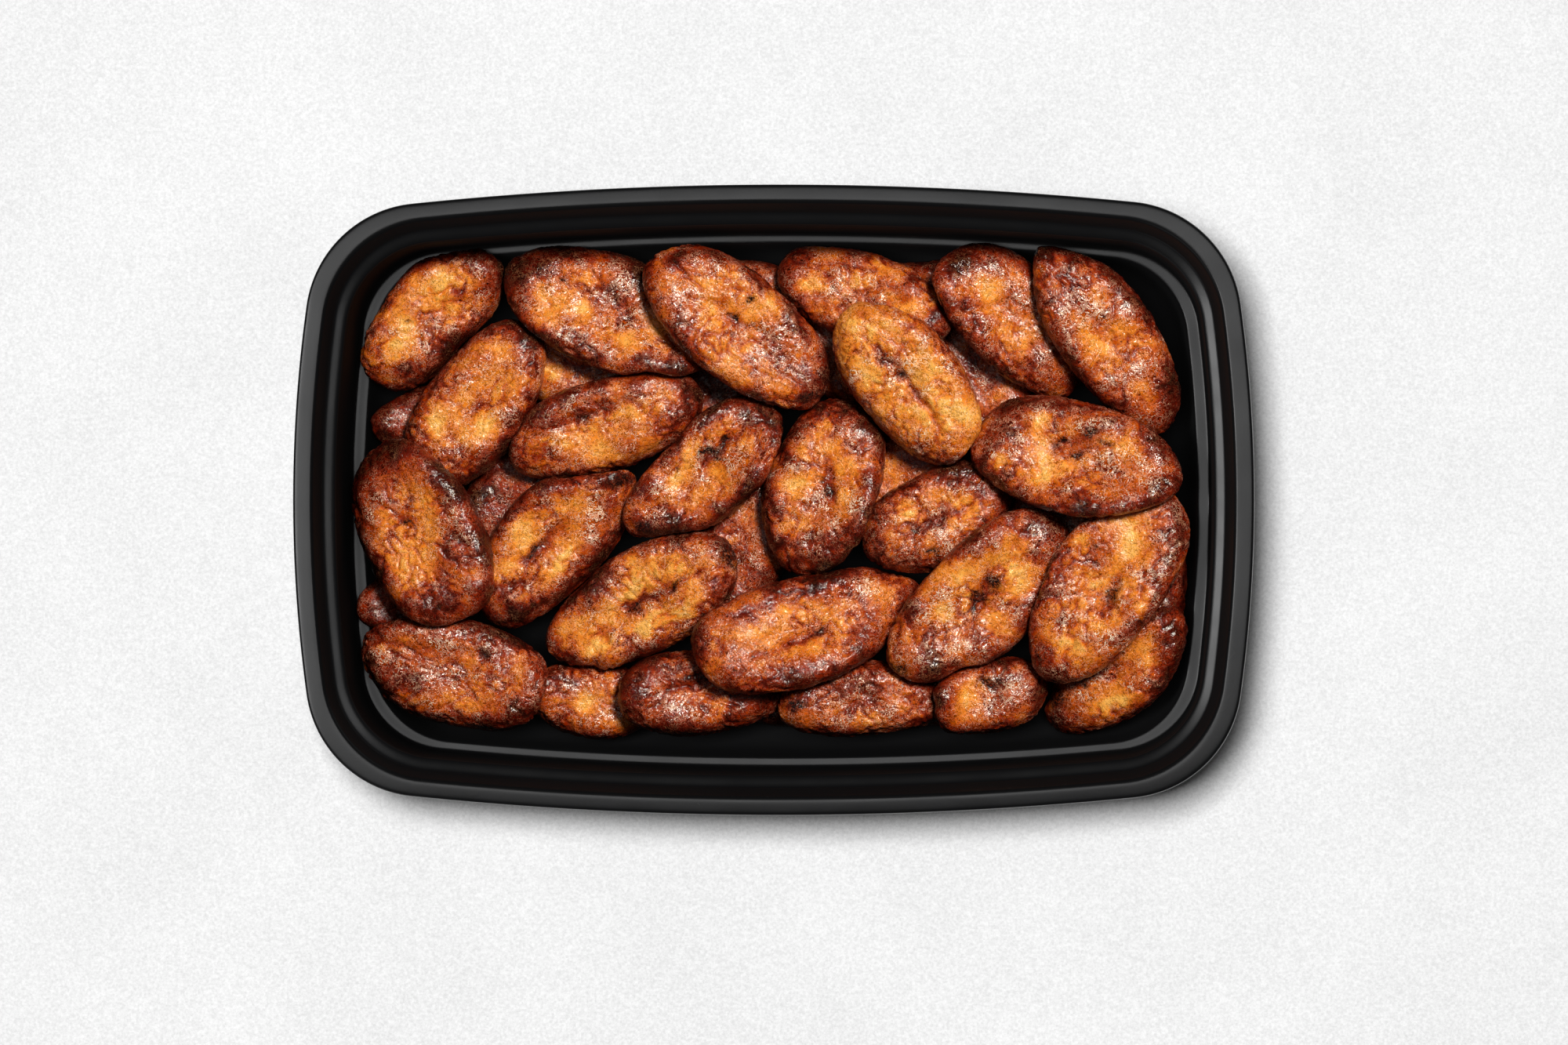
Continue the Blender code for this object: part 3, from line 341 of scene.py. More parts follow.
# Seams and ridges along a slice, made in the same way. Kind, start x and y, end x and y, half
# width, strength.
LINES = {
    "slice_20": (
        ("seam", 23.0, 36.5, 30.0, 29.5, 0.9, 0.9), ("seam", 30.0, 29.5, 37.5, 19.0, 0.9, 1.1),
        ("seam", 20.5, 43.5, 33.0, 35.0, 0.9, 0.45), ("ridge", 33.5, 31.0, 40.5, 18.0, 1.5, 0.5),
        ("ridge", 18.0, 40.0, 24.5, 31.0, 1.5, 0.3),
    ),
    "slice_15": (
        ("seam", -15.0, 46.0, -1.0, 38.0, 1.1, 0.5), ("ridge", -12.0, 54.0, 2.0, 44.0, 1.7, 0.45),
        ("seam", -7.0, 38.5, -1.5, 34.0, 0.7, 0.3),
    ),
    "slice_10": (
        ("seam", -36.0, -25.5, -25.0, -21.0, 1.1, 0.9), ("seam", -25.0, -21.0, -18.5, -17.5, 0.7, 0.7),
        ("ridge", -40.5, -24.5, -25.5, -15.5, 1.7, 0.5),
        ("ridge", -32.0, -31.0, -18.5, -23.5, 1.7, 0.5),
    ),
    "slice_11": (
        ("seam", -6.0, -37.0, 2.5, -34.0, 0.7, 0.5), ("seam", 2.5, -34.0, 10.5, -30.5, 1.1, 1.1),
        ("seam", -12.0, -27.5, 9.0, -22.0, 0.9, 0.4), ("ridge", -9.0, -32.0, 11.5, -26.5, 1.8, 0.4),
        ("ridge", 2.0, -38.5, 20.5, -32.5, 1.8, 0.3),
    ),
    "slice_14": (
        ("seam", -17.0, 9.0, -11.0, 14.5, 1.1, 0.9), ("ridge", -22.0, 9.0, -12.0, 19.0, 1.7, 0.35),
    ),
    "slice_09": (
        ("seam", 12.5, 7.0, 13.0, -0.5, 1.1, 0.9), ("ridge", 7.5, 12.5, 6.5, -2.5, 1.7, 0.4),
    ),
    "slice_19": (
        ("seam", 65.0, 12.5, 76.0, 16.0, 1.3, 0.7), ("seam", 71.0, 11.0, 79.5, 13.0, 0.7, 0.4),
    ),
    "slice_12": (
        ("seam", 51.5, -16.0, 47.0, -26.0, 1.3, 0.9), ("seam", 46.5, -28.0, 47.5, -34.5, 0.7, 0.6),
        ("ridge", 46.5, -11.5, 40.0, -24.5, 1.8, 0.35),
    ),
    "slice_13": (
        ("seam", 80.0, -20.0, 77.0, -27.0, 1.3, 1.1), ("seam", 88.5, -11.5, 75.0, -23.0, 0.9, 0.7),
        ("seam", 69.0, -23.0, 75.5, -21.0, 0.6, 0.5), ("ridge", 85.0, -19.0, 79.5, -11.5, 1.5, 0.3),
        ("seam", 83.5, -21.5, 90.0, -20.0, 0.6, 0.35), ("seam", 83.5, -24.5, 89.5, -23.5, 0.6, 0.35),
        ("seam", 83.0, -27.0, 88.5, -27.5, 0.6, 0.35), ("seam", 67.0, -29.0, 66.0, -37.5, 0.6, 0.3),
        ("seam", 69.0, -29.0, 68.5, -38.0, 0.6, 0.3),
    ),
    "slice_07": (
        ("seam", -64.5, -21.0, -60.0, -20.0, 0.9, 1.2), ("seam", -59.5, -14.0, -51.0, -7.0, 1.3, 0.7),
        ("seam", -63.0, -24.5, -55.5, -25.0, 0.7, 0.4),
    ),
    "slice_03": (
        ("seam", 15.5, 45.5, 17.5, 43.0, 1.1, 1.6), ("seam", 17.5, 43.0, 30.0, 47.5, 1.1, 0.6),
        ("ridge", 13.0, 44.0, 16.0, 49.5, 1.5, 0.4),
    ),
    "slice_08": (
        ("seam", 31.5, -7.0, 45.5, -2.0, 0.9, 0.6),
    ),
    "slice_04": (
        ("seam", 43.5, 45.0, 57.5, 31.0, 1.1, 0.35), ("seam", 46.5, 45.5, 55.5, 46.5, 0.6, 0.4),
    ),
    "slice_16": (
        ("seam", 69.5, 49.5, 79.5, 36.5, 1.1, 0.4), ("seam", 83.5, 38.5, 89.0, 29.0, 0.7, 0.4),
    ),
    "slice_06": (
        ("seam", -42.5, 51.0, -33.0, 42.0, 1.1, 0.4), ("seam", -51.5, 53.5, -46.0, 49.5, 0.7, 0.4),
    ),
    "slice_05": (
        ("seam", -53.5, 16.5, -35.0, 23.5, 1.3, 0.5),
    ),
    "slice_01": (
        ("seam", -77.5, 14.5, -64.5, 31.0, 1.3, 0.45),
    ),
    "slice_18": (
        ("seam", -79.5, 36.5, -71.0, 49.5, 1.3, 0.4),
    ),
    "slice_17": (
        ("seam", -91.0, -9.5, -86.5, -0.5, 1.3, 0.5), ("seam", -79.5, -0.5, -72.0, -15.0, 1.3, 0.35),
    ),
    "edge_01": (
        ("seam", -37.5, -43.5, -35.5, -49.5, 1.1, 0.8),
    ),
    "edge_05": (
        ("seam", 66.5, -45.0, 79.5, -39.5, 0.9, 0.6), ("seam", 88.5, -36.5, 94.5, -30.0, 0.9, 0.6),
    ),
    "edge_02": (
        ("seam", -26.0, -45.0, -11.5, -42.5, 0.9, 0.6),
    ),
    "slice_02": (
        ("seam", -87.0, -35.5, -64.5, -36.5, 1.3, 0.5),
    ),
}

# ---------------------------------------------------------------- noise
HASH_PRIMES = (73856093, 19349663, 83492791)     # mixes a cell's three whole numbers into one
HASH_SEED, HASH_SPREAD, HASH_MASK = 2654435, 1274126177, 0x7FFFFFFF
SEED_SHIFT = 17.37        # cells by which one seed's noise lies beside the next
NOISE_GAIN = 1.7          # brings the noise to about -1 to 1
HASH_STEPS = 1023         # fineness of a cell's direction, as ten bits


def smoothstep(low, high, value):
    """0 below low and 1 above high, with a smooth passage between."""
    t = np.clip((value - low) / (high - low), 0.0, 1.0)
    return t * t * (3.0 - 2.0 * t)


def noise(points, size, seed):
    """Smooth gradient noise, about -1 to 1, with cells of the given size."""
    p = points / size + seed * SEED_SHIFT
    cell = np.floor(p).astype(np.int64)
    part = p - cell
    ease = part ** 3 * (part * (part * 6 - 15) + 10)
    total = np.zeros(len(p))
    for corner in itertools.product((0, 1), repeat=3):
        at = cell + corner
        mix = at[:, 0] * HASH_PRIMES[0] ^ at[:, 1] * HASH_PRIMES[1] ^ at[:, 2] * HASH_PRIMES[2]
        mix ^= seed * HASH_SEED
        mix = (mix ^ (mix >> 13)) * HASH_SPREAD & HASH_MASK
        mix ^= mix >> 15
        turn = (mix & HASH_STEPS) / HASH_STEPS * 2 * np.pi
        rise = (mix >> 10 & HASH_STEPS) / HASH_STEPS * 2 - 1
        flat = np.sqrt(1 - rise ** 2)
        way = part - corner
        dot = flat * (np.cos(turn) * way[:, 0] + np.sin(turn) * way[:, 1]) + rise * way[:, 2]
        total += dot * np.prod(np.where(corner, ease, 1 - ease), axis=1)
    return total * NOISE_GAIN


# ---------------------------------------------------------------- smooth slices from the frame
def gather_rings(node):
    """The points of a packed slice as rings, from its top centre to its bottom centre."""
    mesh = node.data
    points = np.empty(len(mesh.vertices) * 3)
    mesh.vertices.foreach_get("co", points)
    points = points.reshape(-1, 3) / MM
    _, first, weld = np.unique(np.round(points, 3), axis=0, return_index=True, return_inverse=True)
    points = points[first]
    weld = weld.ravel()
    near = [set() for _ in points]
    for face in mesh.polygons:
        ids = [int(weld[k]) for k in face.vertices]
        for a, b in zip(ids, ids[1:] + ids[:1]):
            near[a].add(b)
            near[b].add(a)
    poles = [k for k in range(len(points)) if len(near[k]) >= POLE_SPOKES]
    top = max(poles, key=lambda k: points[k][2])
    levels = [{top}]
    seen = {top}
    while True:
        after = set().union(*(near[k] for k in levels[-1])) - seen
        if not after:
            break
        seen |= after
        levels.append(after)
    centre = points[top][:2]
    rings = []
    for level in levels[1:-1]:
        ring = points[sorted(level)]
        angle = np.arctan2(ring[:, 1] - centre[1], ring[:, 0] - centre[0])
        rings.append((ring[np.argsort(angle)], np.sort(angle)))
    guide = rings[GUIDE_RING][1]
    aligned = []
    for ring, angle in rings:
        def misfit(shift):
            off = np.roll(angle, shift) - guide
            return np.abs((off + np.pi) % (2 * np.pi) - np.pi).sum()
        best = min((-1, 0, 1), key=misfit)
        aligned.append(np.roll(ring, best, axis=0))
    bottom = points[list(levels[-1])[0]]
    count = len(aligned[0])
    return [np.tile(points[top], (count, 1))] + aligned + [np.tile(bottom, (count, 1))]


def hermite(a, b, slope_a, slope_b, span, t):
    """The smooth curve from a to b with these slopes, at the share t of the span."""
    t2, t3 = t * t, t * t * t
    return ((2 * t3 - 3 * t2 + 1) * a + (t3 - 2 * t2 + t) * span * slope_a
            + (3 * t2 - 2 * t3) * b + (t3 - t2) * span * slope_b)


def fine_ring(ring, count):
    """A closed smooth curve through the ring's points."""
    total = len(ring)
    where = np.arange(count) * total / count
    k = np.floor(where).astype(int)
    t = (where - k)[:, None]
    slope = (np.roll(ring, -1, axis=0) - np.roll(ring, 1, axis=0)) / 2
    a, b = k % total, (k + 1) % total
    return hermite(ring[a], ring[b], slope[a], slope[b], 1.0, t)


def fine_grid(rings, count, step):
    """The rings as a smooth surface: levels x columns x 3, and each level's share."""
    fine = np.array([fine_ring(ring, count) for ring in rings])
    half = count // 2
    over_top = np.roll(fine[1], half, axis=0)
    over_low = np.roll(fine[-2], half, axis=0)
    length = np.linalg.norm(np.diff(fine, axis=0), axis=2).mean(axis=1)
    knots = np.concatenate([[0.0], np.cumsum(length)])
    ends = np.concatenate([[over_top], fine, [over_low]])
    spots = np.concatenate([[-length[0]], knots, [knots[-1] + length[-1]]])
    gaps = np.diff(spots)
    before, after = gaps[:-1, None, None], gaps[1:, None, None]
    lower = (ends[1:-1] - ends[:-2]) / before
    upper = (ends[2:] - ends[1:-1]) / after
    slopes = (lower * after + upper * before) / (before + after)
    flank_end = knots[FLANK_END]
    hidden_levels = max(HIDDEN_LEVELS, int((knots[-1] - flank_end) / HIDDEN_STEP))
    where = np.concatenate([np.arange(0.0, flank_end, step),
                            np.linspace(flank_end, knots[-1], hidden_levels)])
    k = np.clip(np.searchsorted(knots, where, "right") - 1, 0, len(knots) - 2)
    span = np.diff(knots)[k][:, None, None]
    t = ((where - knots[k])[:, None, None]) / span
    grid = hermite(fine[k], fine[k + 1], slopes[k], slopes[k + 1], span, t)
    return grid, np.interp(where, knots, RING_SHARES)


def grid_normals(grid):
    """The outward direction at each point of a closed grid."""
    across = np.roll(grid, -1, axis=1) - np.roll(grid, 1, axis=1)
    down = np.gradient(grid, axis=0)
    normals = np.cross(down, across)
    normals[0], normals[-1] = (0.0, 0.0, 1.0), (0.0, 0.0, -1.0)
    size = np.linalg.norm(normals, axis=2, keepdims=True)
    return normals / np.maximum(size, 1e-9)


# ---------------------------------------------------------------- skin
def patch_weight(plan, warp, row):
    """Weight of a patch over the plan points, with an uneven border."""
    _, x, y, long, wide, angle, strength = row
    a = math.radians(angle)
    dx, dy = plan[:, 0] + warp[:, 0] - x, plan[:, 1] + warp[:, 1] - y
    u = (dx * math.cos(a) + dy * math.sin(a)) / long
    v = (dy * math.cos(a) - dx * math.sin(a)) / wide
    return strength * np.exp(-(u * u + v * v) ** PATCH_EDGE)


def line_weight(plan, warp, row):
    """Weight of a seam or ridge along a short line, falling off at its sides and past its ends."""
    _, x0, y0, x1, y1, width, strength = row
    way = np.array([x1 - x0, y1 - y0])
    length = np.hypot(*way)
    at = plan + LINE_WARP * warp
    along = ((at[:, 0] - x0) * way[0] + (at[:, 1] - y0) * way[1]) / length ** 2
    near = np.clip(along, 0.0, 1.0)
    gap = np.hypot(at[:, 0] - x0 - near * way[0], at[:, 1] - y0 - near * way[1])
    return strength * np.exp(-(gap / width) ** 2)


def creases(value, width):
    """1 along the lines where the noise changes sign, falling to 0 beside them."""
    return np.exp(-(value / width) ** 2)


def mark_weights(name, plan, warp, share):
    """The kind of each mark of a slice, and its weight at every point."""
    for row in PATCHES.get(name, ()):
        yield row[0], patch_weight(plan, warp, row) * (share < PATCH_END)
    for row in LINES.get(name, ()):
        yield row[0], line_weight(plan, warp, row) * (share < LINE_END)


def dress_slice(name, grid, share):
    """Adds the skin's relief to a smooth slice and works out its browning, with painted shade in its
    creases and on its flank, its char, and its glaze, which also sets painted glints.
    """
    points = grid.reshape(-1, 3)
    normal = grid_normals(grid).reshape(-1, 3)
    share = np.repeat(share, grid.shape[1])
    plan = points[:, :2]

    def field(key, at=points):
        return noise(at, *NOISES[key])

    warp = np.stack([field("warp_x"), field("warp_y")], axis=1) * WARP_REACH
    bent = points + FOLD_WARP * np.column_stack([warp, warp[:, 0]])
    broad, middle = field("broad"), field("middle")
    rough = smoothstep(*ROUGH_SPAN, field("rough"))
    folds = creases(field("folds", bent), FOLD_WIDTH) * rough
    wrinkles = creases(field("wrinkles", bent), WRINKLE_WIDTH)
    wrinkles *= LEAST_WRINKLES + (1.0 - LEAST_WRINKLES) * rough

    crown = 1.0 - smoothstep(*CROWN_SPAN, share)
    lift = (crown * (BROAD_LIFT * broad + MIDDLE_LIFT * middle) - FOLD_DEPTH * folds
            - WRINKLE_DEPTH * wrinkles + FINE_LIFT * field("fine"))
    lift *= 1.0 - smoothstep(*RELIEF_SPAN, share)
    lift += (RIM_LIFT * np.exp(-((share - RIM_SHARE) / RIM_WIDTH) ** 2)
             - DIP_DEPTH * (1.0 - smoothstep(*DIP_SPAN, share)))
    lift -= FLANK_DEPTH * smoothstep(*FLANK_SPAN, share)

    toast, rim, glaze = TONES[name]
    edge = smoothstep(*EDGE_SPAN, share + EDGE_WAVER * middle)
    brown = (toast + EDGE_BROWN * rim * edge * (EDGE_EVEN + EDGE_BROAD * broad)
             + BROAD_BROWN * broad + MIDDLE_BROWN * middle)
    # Painted shade along folds and wrinkles, and a paler middle.
    brown += (FOLD_PAINTED_SHADE * folds + WRINKLE_PAINTED_SHADE * wrinkles - ALL_PALER
              - DIP_PALER * (1.0 - smoothstep(*PALE_SPAN, share)))
    pooled = GLAZE_BROAD * broad + GLAZE_MIDDLE * middle + GLAZE_FINE * field("glaze")
    # Glaze, which sets the coat's weight and the painted glints.
    shine = GLAZE_GAIN * glaze * smoothstep(*GLAZE_SPAN, pooled)
    char = np.zeros(len(points))
    for kind, weight in mark_weights(name, plan, warp, share):
        height, browning, charring, glazing = MARK_EFFECTS[kind]
        lift += height * weight
        brown += browning * np.minimum(weight, 1.0)
        char += charring * weight
        shine += glazing * weight
    # Painted shade on the flank and underside.
    brown += FLANK_PAINTED_SHADE * smoothstep(*FLANK_SHADE_SPAN, share)
    out = points + normal * lift[:, None]
    return out, np.clip(brown, 0.0, 1.0), np.clip(char, 0.0, 1.0), np.clip(shine, 0.0, 1.0)


def grid_faces(levels, count):
    """Faces of a closed grid whose first and last levels are single points."""
    faces = [(0, 1 + k, 1 + (k + 1) % count) for k in range(count)]
    ids = 1 + np.arange((levels - 2) * count).reshape(levels - 2, count)
    upper, lower = ids[:-1], ids[1:]
    beside_lower, beside_upper = np.roll(lower, -1, axis=1), np.roll(upper, -1, axis=1)
    quads = np.stack([upper, lower, beside_lower, beside_upper], axis=2)
    faces += [tuple(quad) for quad in quads.reshape(-1, 4).tolist()]
    last = (levels - 2) * count + 1
    base = last - count
    faces += [(base + k, last, base + (k + 1) % count) for k in range(count)]
    return faces


def add_piece(name, points, faces, material, values=None):
    """A smooth-shaded object from points in mm, with a vertex attribute for each of the values."""
    mesh = bpy.data.meshes.new(name)
    mesh.from_pydata((np.asarray(points) * MM).tolist(), [], faces)
    for key, data in (values or {}).items():
        layer = mesh.attributes.new(key, "FLOAT", "POINT")
        layer.data.foreach_set("value", np.asarray(data, np.float32))
    mesh.shade_smooth()
    mesh.materials.append(material)
    item = bpy.data.objects.new(name, mesh)
    bpy.context.scene.collection.objects.link(item)
    return item


def make_slice(name, material):
    """The finely meshed skin that stands in for a packed slice."""
    low = name.startswith("under")
    count = LOWER_COLUMNS if low else UPPER_COLUMNS
    rings = gather_rings(frame["nodes"][name])
    grid, share = fine_grid(rings, count, LOWER_STEP if low else UPPER_STEP)
    points, brown, char, shine = dress_slice(name, grid, share)
    levels = len(share)
    keep = np.r_[0, np.arange(count, (levels - 1) * count), levels * count - 1]
    faces = grid_faces(levels, count)
    # The brown values include painted shade, and the shine values set painted glints.
    values = {"brown": brown[keep], "char": char[keep], "shine": shine[keep]}
    return add_piece(name + "_skin", points[keep], faces, material, values)


# ---------------------------------------------------------------- tray (mm)
RIM_HALF_X, RIM_HALF_Y, RIM_CORNER = 113.0, 74.0, 28.0
SHORT_SIDE_BOW = 330.0    # plan radius of the gently bowed short sides
LONG_SIDE_BOW = 845.0     # plan radius of the gently bowed long sides
TRAY_HEIGHT = 40.0
UPPER_LEDGE_X, UPPER_LEDGE_Y = 103.1, 64.4
LOWER_LEDGE_X, LOWER_LEDGE_Y, LOWER_LEDGE_Z = 98.9, 60.9, 11.4
RIM_INNER_X, RIM_INNER_Y = 108.6, 69.9
STEP_Z = 36.2             # level of the upper ledge
FLOOR_TOP = 1.2
SKIRT_Z = 36.0            # lower edge of the rim's outer lip
CORNER_STEPS = 28         # facets of each corner
LONG_STEPS = 40           # facets of each long side
SHORT_STEPS = 24          # facets of each short side
PROFILE_ROUNDS = 2        # times that the profile's corners are eased

# The tray is a stack of rings, from the middle of its floor up, over the rim and down to the
# middle of its underside: half length, half width, corner radius, height.
TRAY_RINGS = (
    (88.0, 50.5, 12.0, FLOOR_TOP),
    (91.0, 53.5, 14.0, FLOOR_TOP),
    (94.6, 57.0, 16.5, FLOOR_TOP + 0.8),
    (96.9, 59.2, 18.0, FLOOR_TOP + 3.0),
    (98.2, 60.3, 19.0, 8.5),
    (LOWER_LEDGE_X - 0.3, LOWER_LEDGE_Y - 0.2, 19.3, LOWER_LEDGE_Z - 0.8),
    (LOWER_LEDGE_X + 0.1, LOWER_LEDGE_Y + 0.1, 19.5, LOWER_LEDGE_Z - 0.15),
    (LOWER_LEDGE_X + 0.6, LOWER_LEDGE_Y + 0.4, 19.8, LOWER_LEDGE_Z + 0.05),
    (LOWER_LEDGE_X + 2.9, LOWER_LEDGE_Y + 2.1, 20.5, LOWER_LEDGE_Z + 0.05),
    (LOWER_LEDGE_X + 3.4, LOWER_LEDGE_Y + 2.5, 20.8, LOWER_LEDGE_Z + 0.3),
    (LOWER_LEDGE_X + 3.7, LOWER_LEDGE_Y + 2.8, 21.1, LOWER_LEDGE_Z + 1.2),
    (UPPER_LEDGE_X - 0.2, UPPER_LEDGE_Y - 0.2, 21.5, STEP_Z - 4.0),
    (UPPER_LEDGE_X, UPPER_LEDGE_Y, 21.6, STEP_Z - 1.7),
    (UPPER_LEDGE_X + 0.2, UPPER_LEDGE_Y + 0.2, 21.8, STEP_Z - 0.85),
    (UPPER_LEDGE_X + 0.6, UPPER_LEDGE_Y + 0.6, 22.2, STEP_Z - 0.45),
    (UPPER_LEDGE_X + 2.9, UPPER_LEDGE_Y + 2.8, 24.0, STEP_Z - 0.02),
    (UPPER_LEDGE_X + 3.3, UPPER_LEDGE_Y + 3.2, 24.4, STEP_Z + 0.2),
    (UPPER_LEDGE_X + 3.6, UPPER_LEDGE_Y + 3.5, 24.6, STEP_Z + 0.8),
    (RIM_INNER_X - 0.7, RIM_INNER_Y - 0.7, 25.6, TRAY_HEIGHT - 0.8),
    (RIM_INNER_X, RIM_INNER_Y, 26.0, TRAY_HEIGHT),
    (RIM_INNER_X + 1.2, RIM_INNER_Y + 1.2, 26.6, TRAY_HEIGHT),
    (RIM_HALF_X - 0.8, RIM_HALF_Y - 0.8, 27.6, TRAY_HEIGHT - 0.10),
    (RIM_HALF_X - 0.3, RIM_HALF_Y - 0.3, 27.8, TRAY_HEIGHT - 0.20),
    (RIM_HALF_X, RIM_HALF_Y, RIM_CORNER, TRAY_HEIGHT - 0.6),
    (RIM_HALF_X, RIM_HALF_Y, RIM_CORNER, SKIRT_Z),
    (RIM_HALF_X - 0.9, RIM_HALF_Y - 0.9, 27.6, SKIRT_Z),
    (RIM_HALF_X - 1.0, RIM_HALF_Y - 1.0, 27.5, TRAY_HEIGHT - 1.2),
    (RIM_INNER_X + 0.7, RIM_INNER_Y + 0.7, 26.3, TRAY_HEIGHT - 1.2),
    (UPPER_LEDGE_X + 4.6, UPPER_LEDGE_Y + 4.5, 25.3, STEP_Z - 0.8),
    (UPPER_LEDGE_X + 1.3, UPPER_LEDGE_Y + 1.3, 22.6, STEP_Z - 1.6),
    (UPPER_LEDGE_X + 1.0, UPPER_LEDGE_Y + 1.0, 22.3, STEP_Z - 2.6),
    (LOWER_LEDGE_X + 4.4, LOWER_LEDGE_Y + 3.1, 21.4, LOWER_LEDGE_Z + 0.8),
    (LOWER_LEDGE_X + 3.7, LOWER_LEDGE_Y + 2.5, 20.8, LOWER_LEDGE_Z - 0.6),
    (LOWER_LEDGE_X + 1.0, LOWER_LEDGE_Y + 1.0, 20.0, LOWER_LEDGE_Z - 1.1),
    (LOWER_LEDGE_X + 0.6, LOWER_LEDGE_Y + 0.7, 19.8, LOWER_LEDGE_Z - 2.0),
    (LOWER_LEDGE_X + 0.2, LOWER_LEDGE_Y + 0.3, 19.5, 4.4),
    (97.6, 59.9, 18.4, 1.6),
    (94.8, 57.2, 16.6, 0.3),
    (92.5, 55.0, 15.0, 0.0),
    (88.0, 50.5, 12.0, 0.0),
)


def arc(centre, radius, start, stop, steps):
    """Points along an arc, without its last one."""
    angles = start + (stop - start) * np.arange(steps) / steps
    return np.stack([centre[0] + radius * np.cos(angles), centre[1] + radius * np.sin(angles)], axis=1)


def bowed_ring(half_x, half_y, corner):
    """A rectangle with bowed sides and round corners, counterclockwise from +X."""
    side_x = np.array((half_x - SHORT_SIDE_BOW, 0.0))
    side_y = np.array((0.0, half_y - LONG_SIDE_BOW))
    reach_x = SHORT_SIDE_BOW - corner
    reach_y = LONG_SIDE_BOW - corner
    span = np.hypot(*(side_y - side_x))
    along = (reach_x ** 2 - reach_y ** 2 + span ** 2) / (2 * span)
    offset = math.sqrt(reach_x ** 2 - along ** 2)
    unit = (side_y - side_x) / span
    centre = side_x + along * unit + offset * np.array((-unit[1], unit[0]))
    low = math.atan2(*(centre - side_x)[::-1])
    high = math.atan2(*(centre - side_y)[::-1])
    quarter = np.concatenate([
        arc(side_x, SHORT_SIDE_BOW, 0.0, low, SHORT_STEPS // 2),
        arc(centre, corner, low, high, CORNER_STEPS),
        arc(side_y, LONG_SIDE_BOW, high, math.pi / 2, LONG_STEPS // 2)])
    second = quarter[:0:-1] * (-1, 1)
    upper = np.concatenate([quarter, [(0.0, half_y)], second])
    return np.concatenate([upper, -upper])


def rounded_profile(rows):
    """Halves the profile's steps and eases its corners, keeping both ends."""
    line = np.array(rows, float)
    for _ in range(PROFILE_ROUNDS):
        middle = (line[1:] + line[:-1]) / 2
        eased = line.copy()
        eased[1:-1] = (line[:-2] + 6 * line[1:-1] + line[2:]) / 8
        wide = np.empty((len(line) + len(middle), line.shape[1]))
        wide[0::2], wide[1::2] = eased, middle
        line = wide
    return line


def make_tray(material):
    """The tray's finer shell, closed over its floor and its underside."""
    rings = []
    for half_x, half_y, corner, z in rounded_profile(TRAY_RINGS):
        ring = bowed_ring(half_x, half_y, corner)
        rings.append(np.column_stack([ring, np.full(len(ring), z)]))
    points = np.concatenate([[(0.0, 0.0, FLOOR_TOP)], *rings, [(0.0, 0.0, 0.0)]])
    faces = [face[::-1] for face in grid_faces(len(rings) + 2, len(rings[0]))]
    return add_piece("meal_tray", points, faces, material)


# ---------------------------------------------------------------- materials
def srgb(red, green, blue):
    """A colour given as it looks on screen, 0 to 255."""
    def linear(value):
        value /= 255.0
        return value / 12.92 if value <= 0.04045 else ((value + 0.055) / 1.055) ** 2.4
    return linear(red), linear(green), linear(blue)


# The skin's colour as it browns, and the colours of its marks. Tuned against the photo.
BROWNING = (
    (0.00, srgb(246, 178, 84)),
    (0.20, srgb(232, 134, 38)),
    (0.40, srgb(188, 80, 9)),
    (0.58, srgb(140, 38, 3)),
    (0.76, srgb(92, 15, 2)),
    (1.00, srgb(46, 7, 3)),
)
CHAR_COLOUR = (*srgb(24, 10, 8), 1.0)
# Painted shade: the near-black colour drawn in fine creases of the grain.
CREASE_SHADE_COLOUR = (*srgb(26, 6, 2), 1.0)
# Painted highlights: pale glint colours drawn on golden skin and on dark skin.
GLINT_COLOUR = (*srgb(255, 246, 222), 1.0)
DARK_GLINT_COLOUR = (*srgb(240, 172, 122), 1.0)

# Noises of the materials: cell in mm, detail, roughness, distortion.
BLOTCH, PORES, GRAIN = (2.6, 3.0, 0.55, 0.9), (0.9, 2.0, 0.6, 1.4), (0.80, 2.0, 0.60, 0.9)
CLUSTERS, WET = (4.5, 2.0, 0.55, 1.0), (0.50, 2.0, 0.6, 0.6)
HAZE, PEEL = (14.0, 2.0), (1.6, 2.0)
PAPER_GRAIN, PAPER_CLOUD = (0.65, 3.0, 0.65), (50.0, 4.0, 0.6)

# Bands of the skin's grain that draw painted crease shade, painted glints and a denser veil of painted
# glints: centre and half width.
CREASE_SHADE_BAND, GLINT_BAND, GLINT_VEIL_BAND = (0.44, 0.040), (0.525, 0.027), (0.590, 0.018)
BAND_CORE = 0.3           # share of a band that is drawn in full

# Spreads: what goes in, from low to high, and what comes out for low and for high.
TONE_BY_BLOTCH = (0.35, 0.65, -0.06, 0.06)
CREASE_SHADE_BY_BROWN = (0.15, 0.60, 0.60, 1.0)
GLINTS_BY_SHINE = (0.0, 0.8, 0.26, 1.0)
GLINT_VEIL_BY_SHINE = (0.40, 0.95, 0.0, 0.8)
GLINTS_BY_CLUSTER = (0.42, 0.60, 0.30, 1.50)
GLINTS_BY_BROWN = (0.48, 0.85, 1.0, 0.22)
DARK_GLINTS_BY_BROWN = (0.45, 0.85, 0.0, 1.0)
BURNT_BY_PORES = (0.35, 0.6, 1.25, 0.45)
COAT_BY_SHINE = (0.0, 0.55, 0.45, 1.0)
UPRIGHT_BY_FACING = (0.25, 0.75, 1.0, 0.0)
FLOOR_BY_HEIGHT = (0.007, 0.010, 1.0, 0.0)      # heights in m
INSIDE_BY_OUTWARD = (0.012, 0.030, 1.0, 0.0)    # distances in m
GLOSS_BY_HAZE = (0.3, 0.7, 0.22, 0.28)
PAPER_BY_GRAIN = (0.3, 0.7, -0.11, 0.11)
PAPER_BY_CLOUD = (0.3, 0.7, -0.03, 0.03)

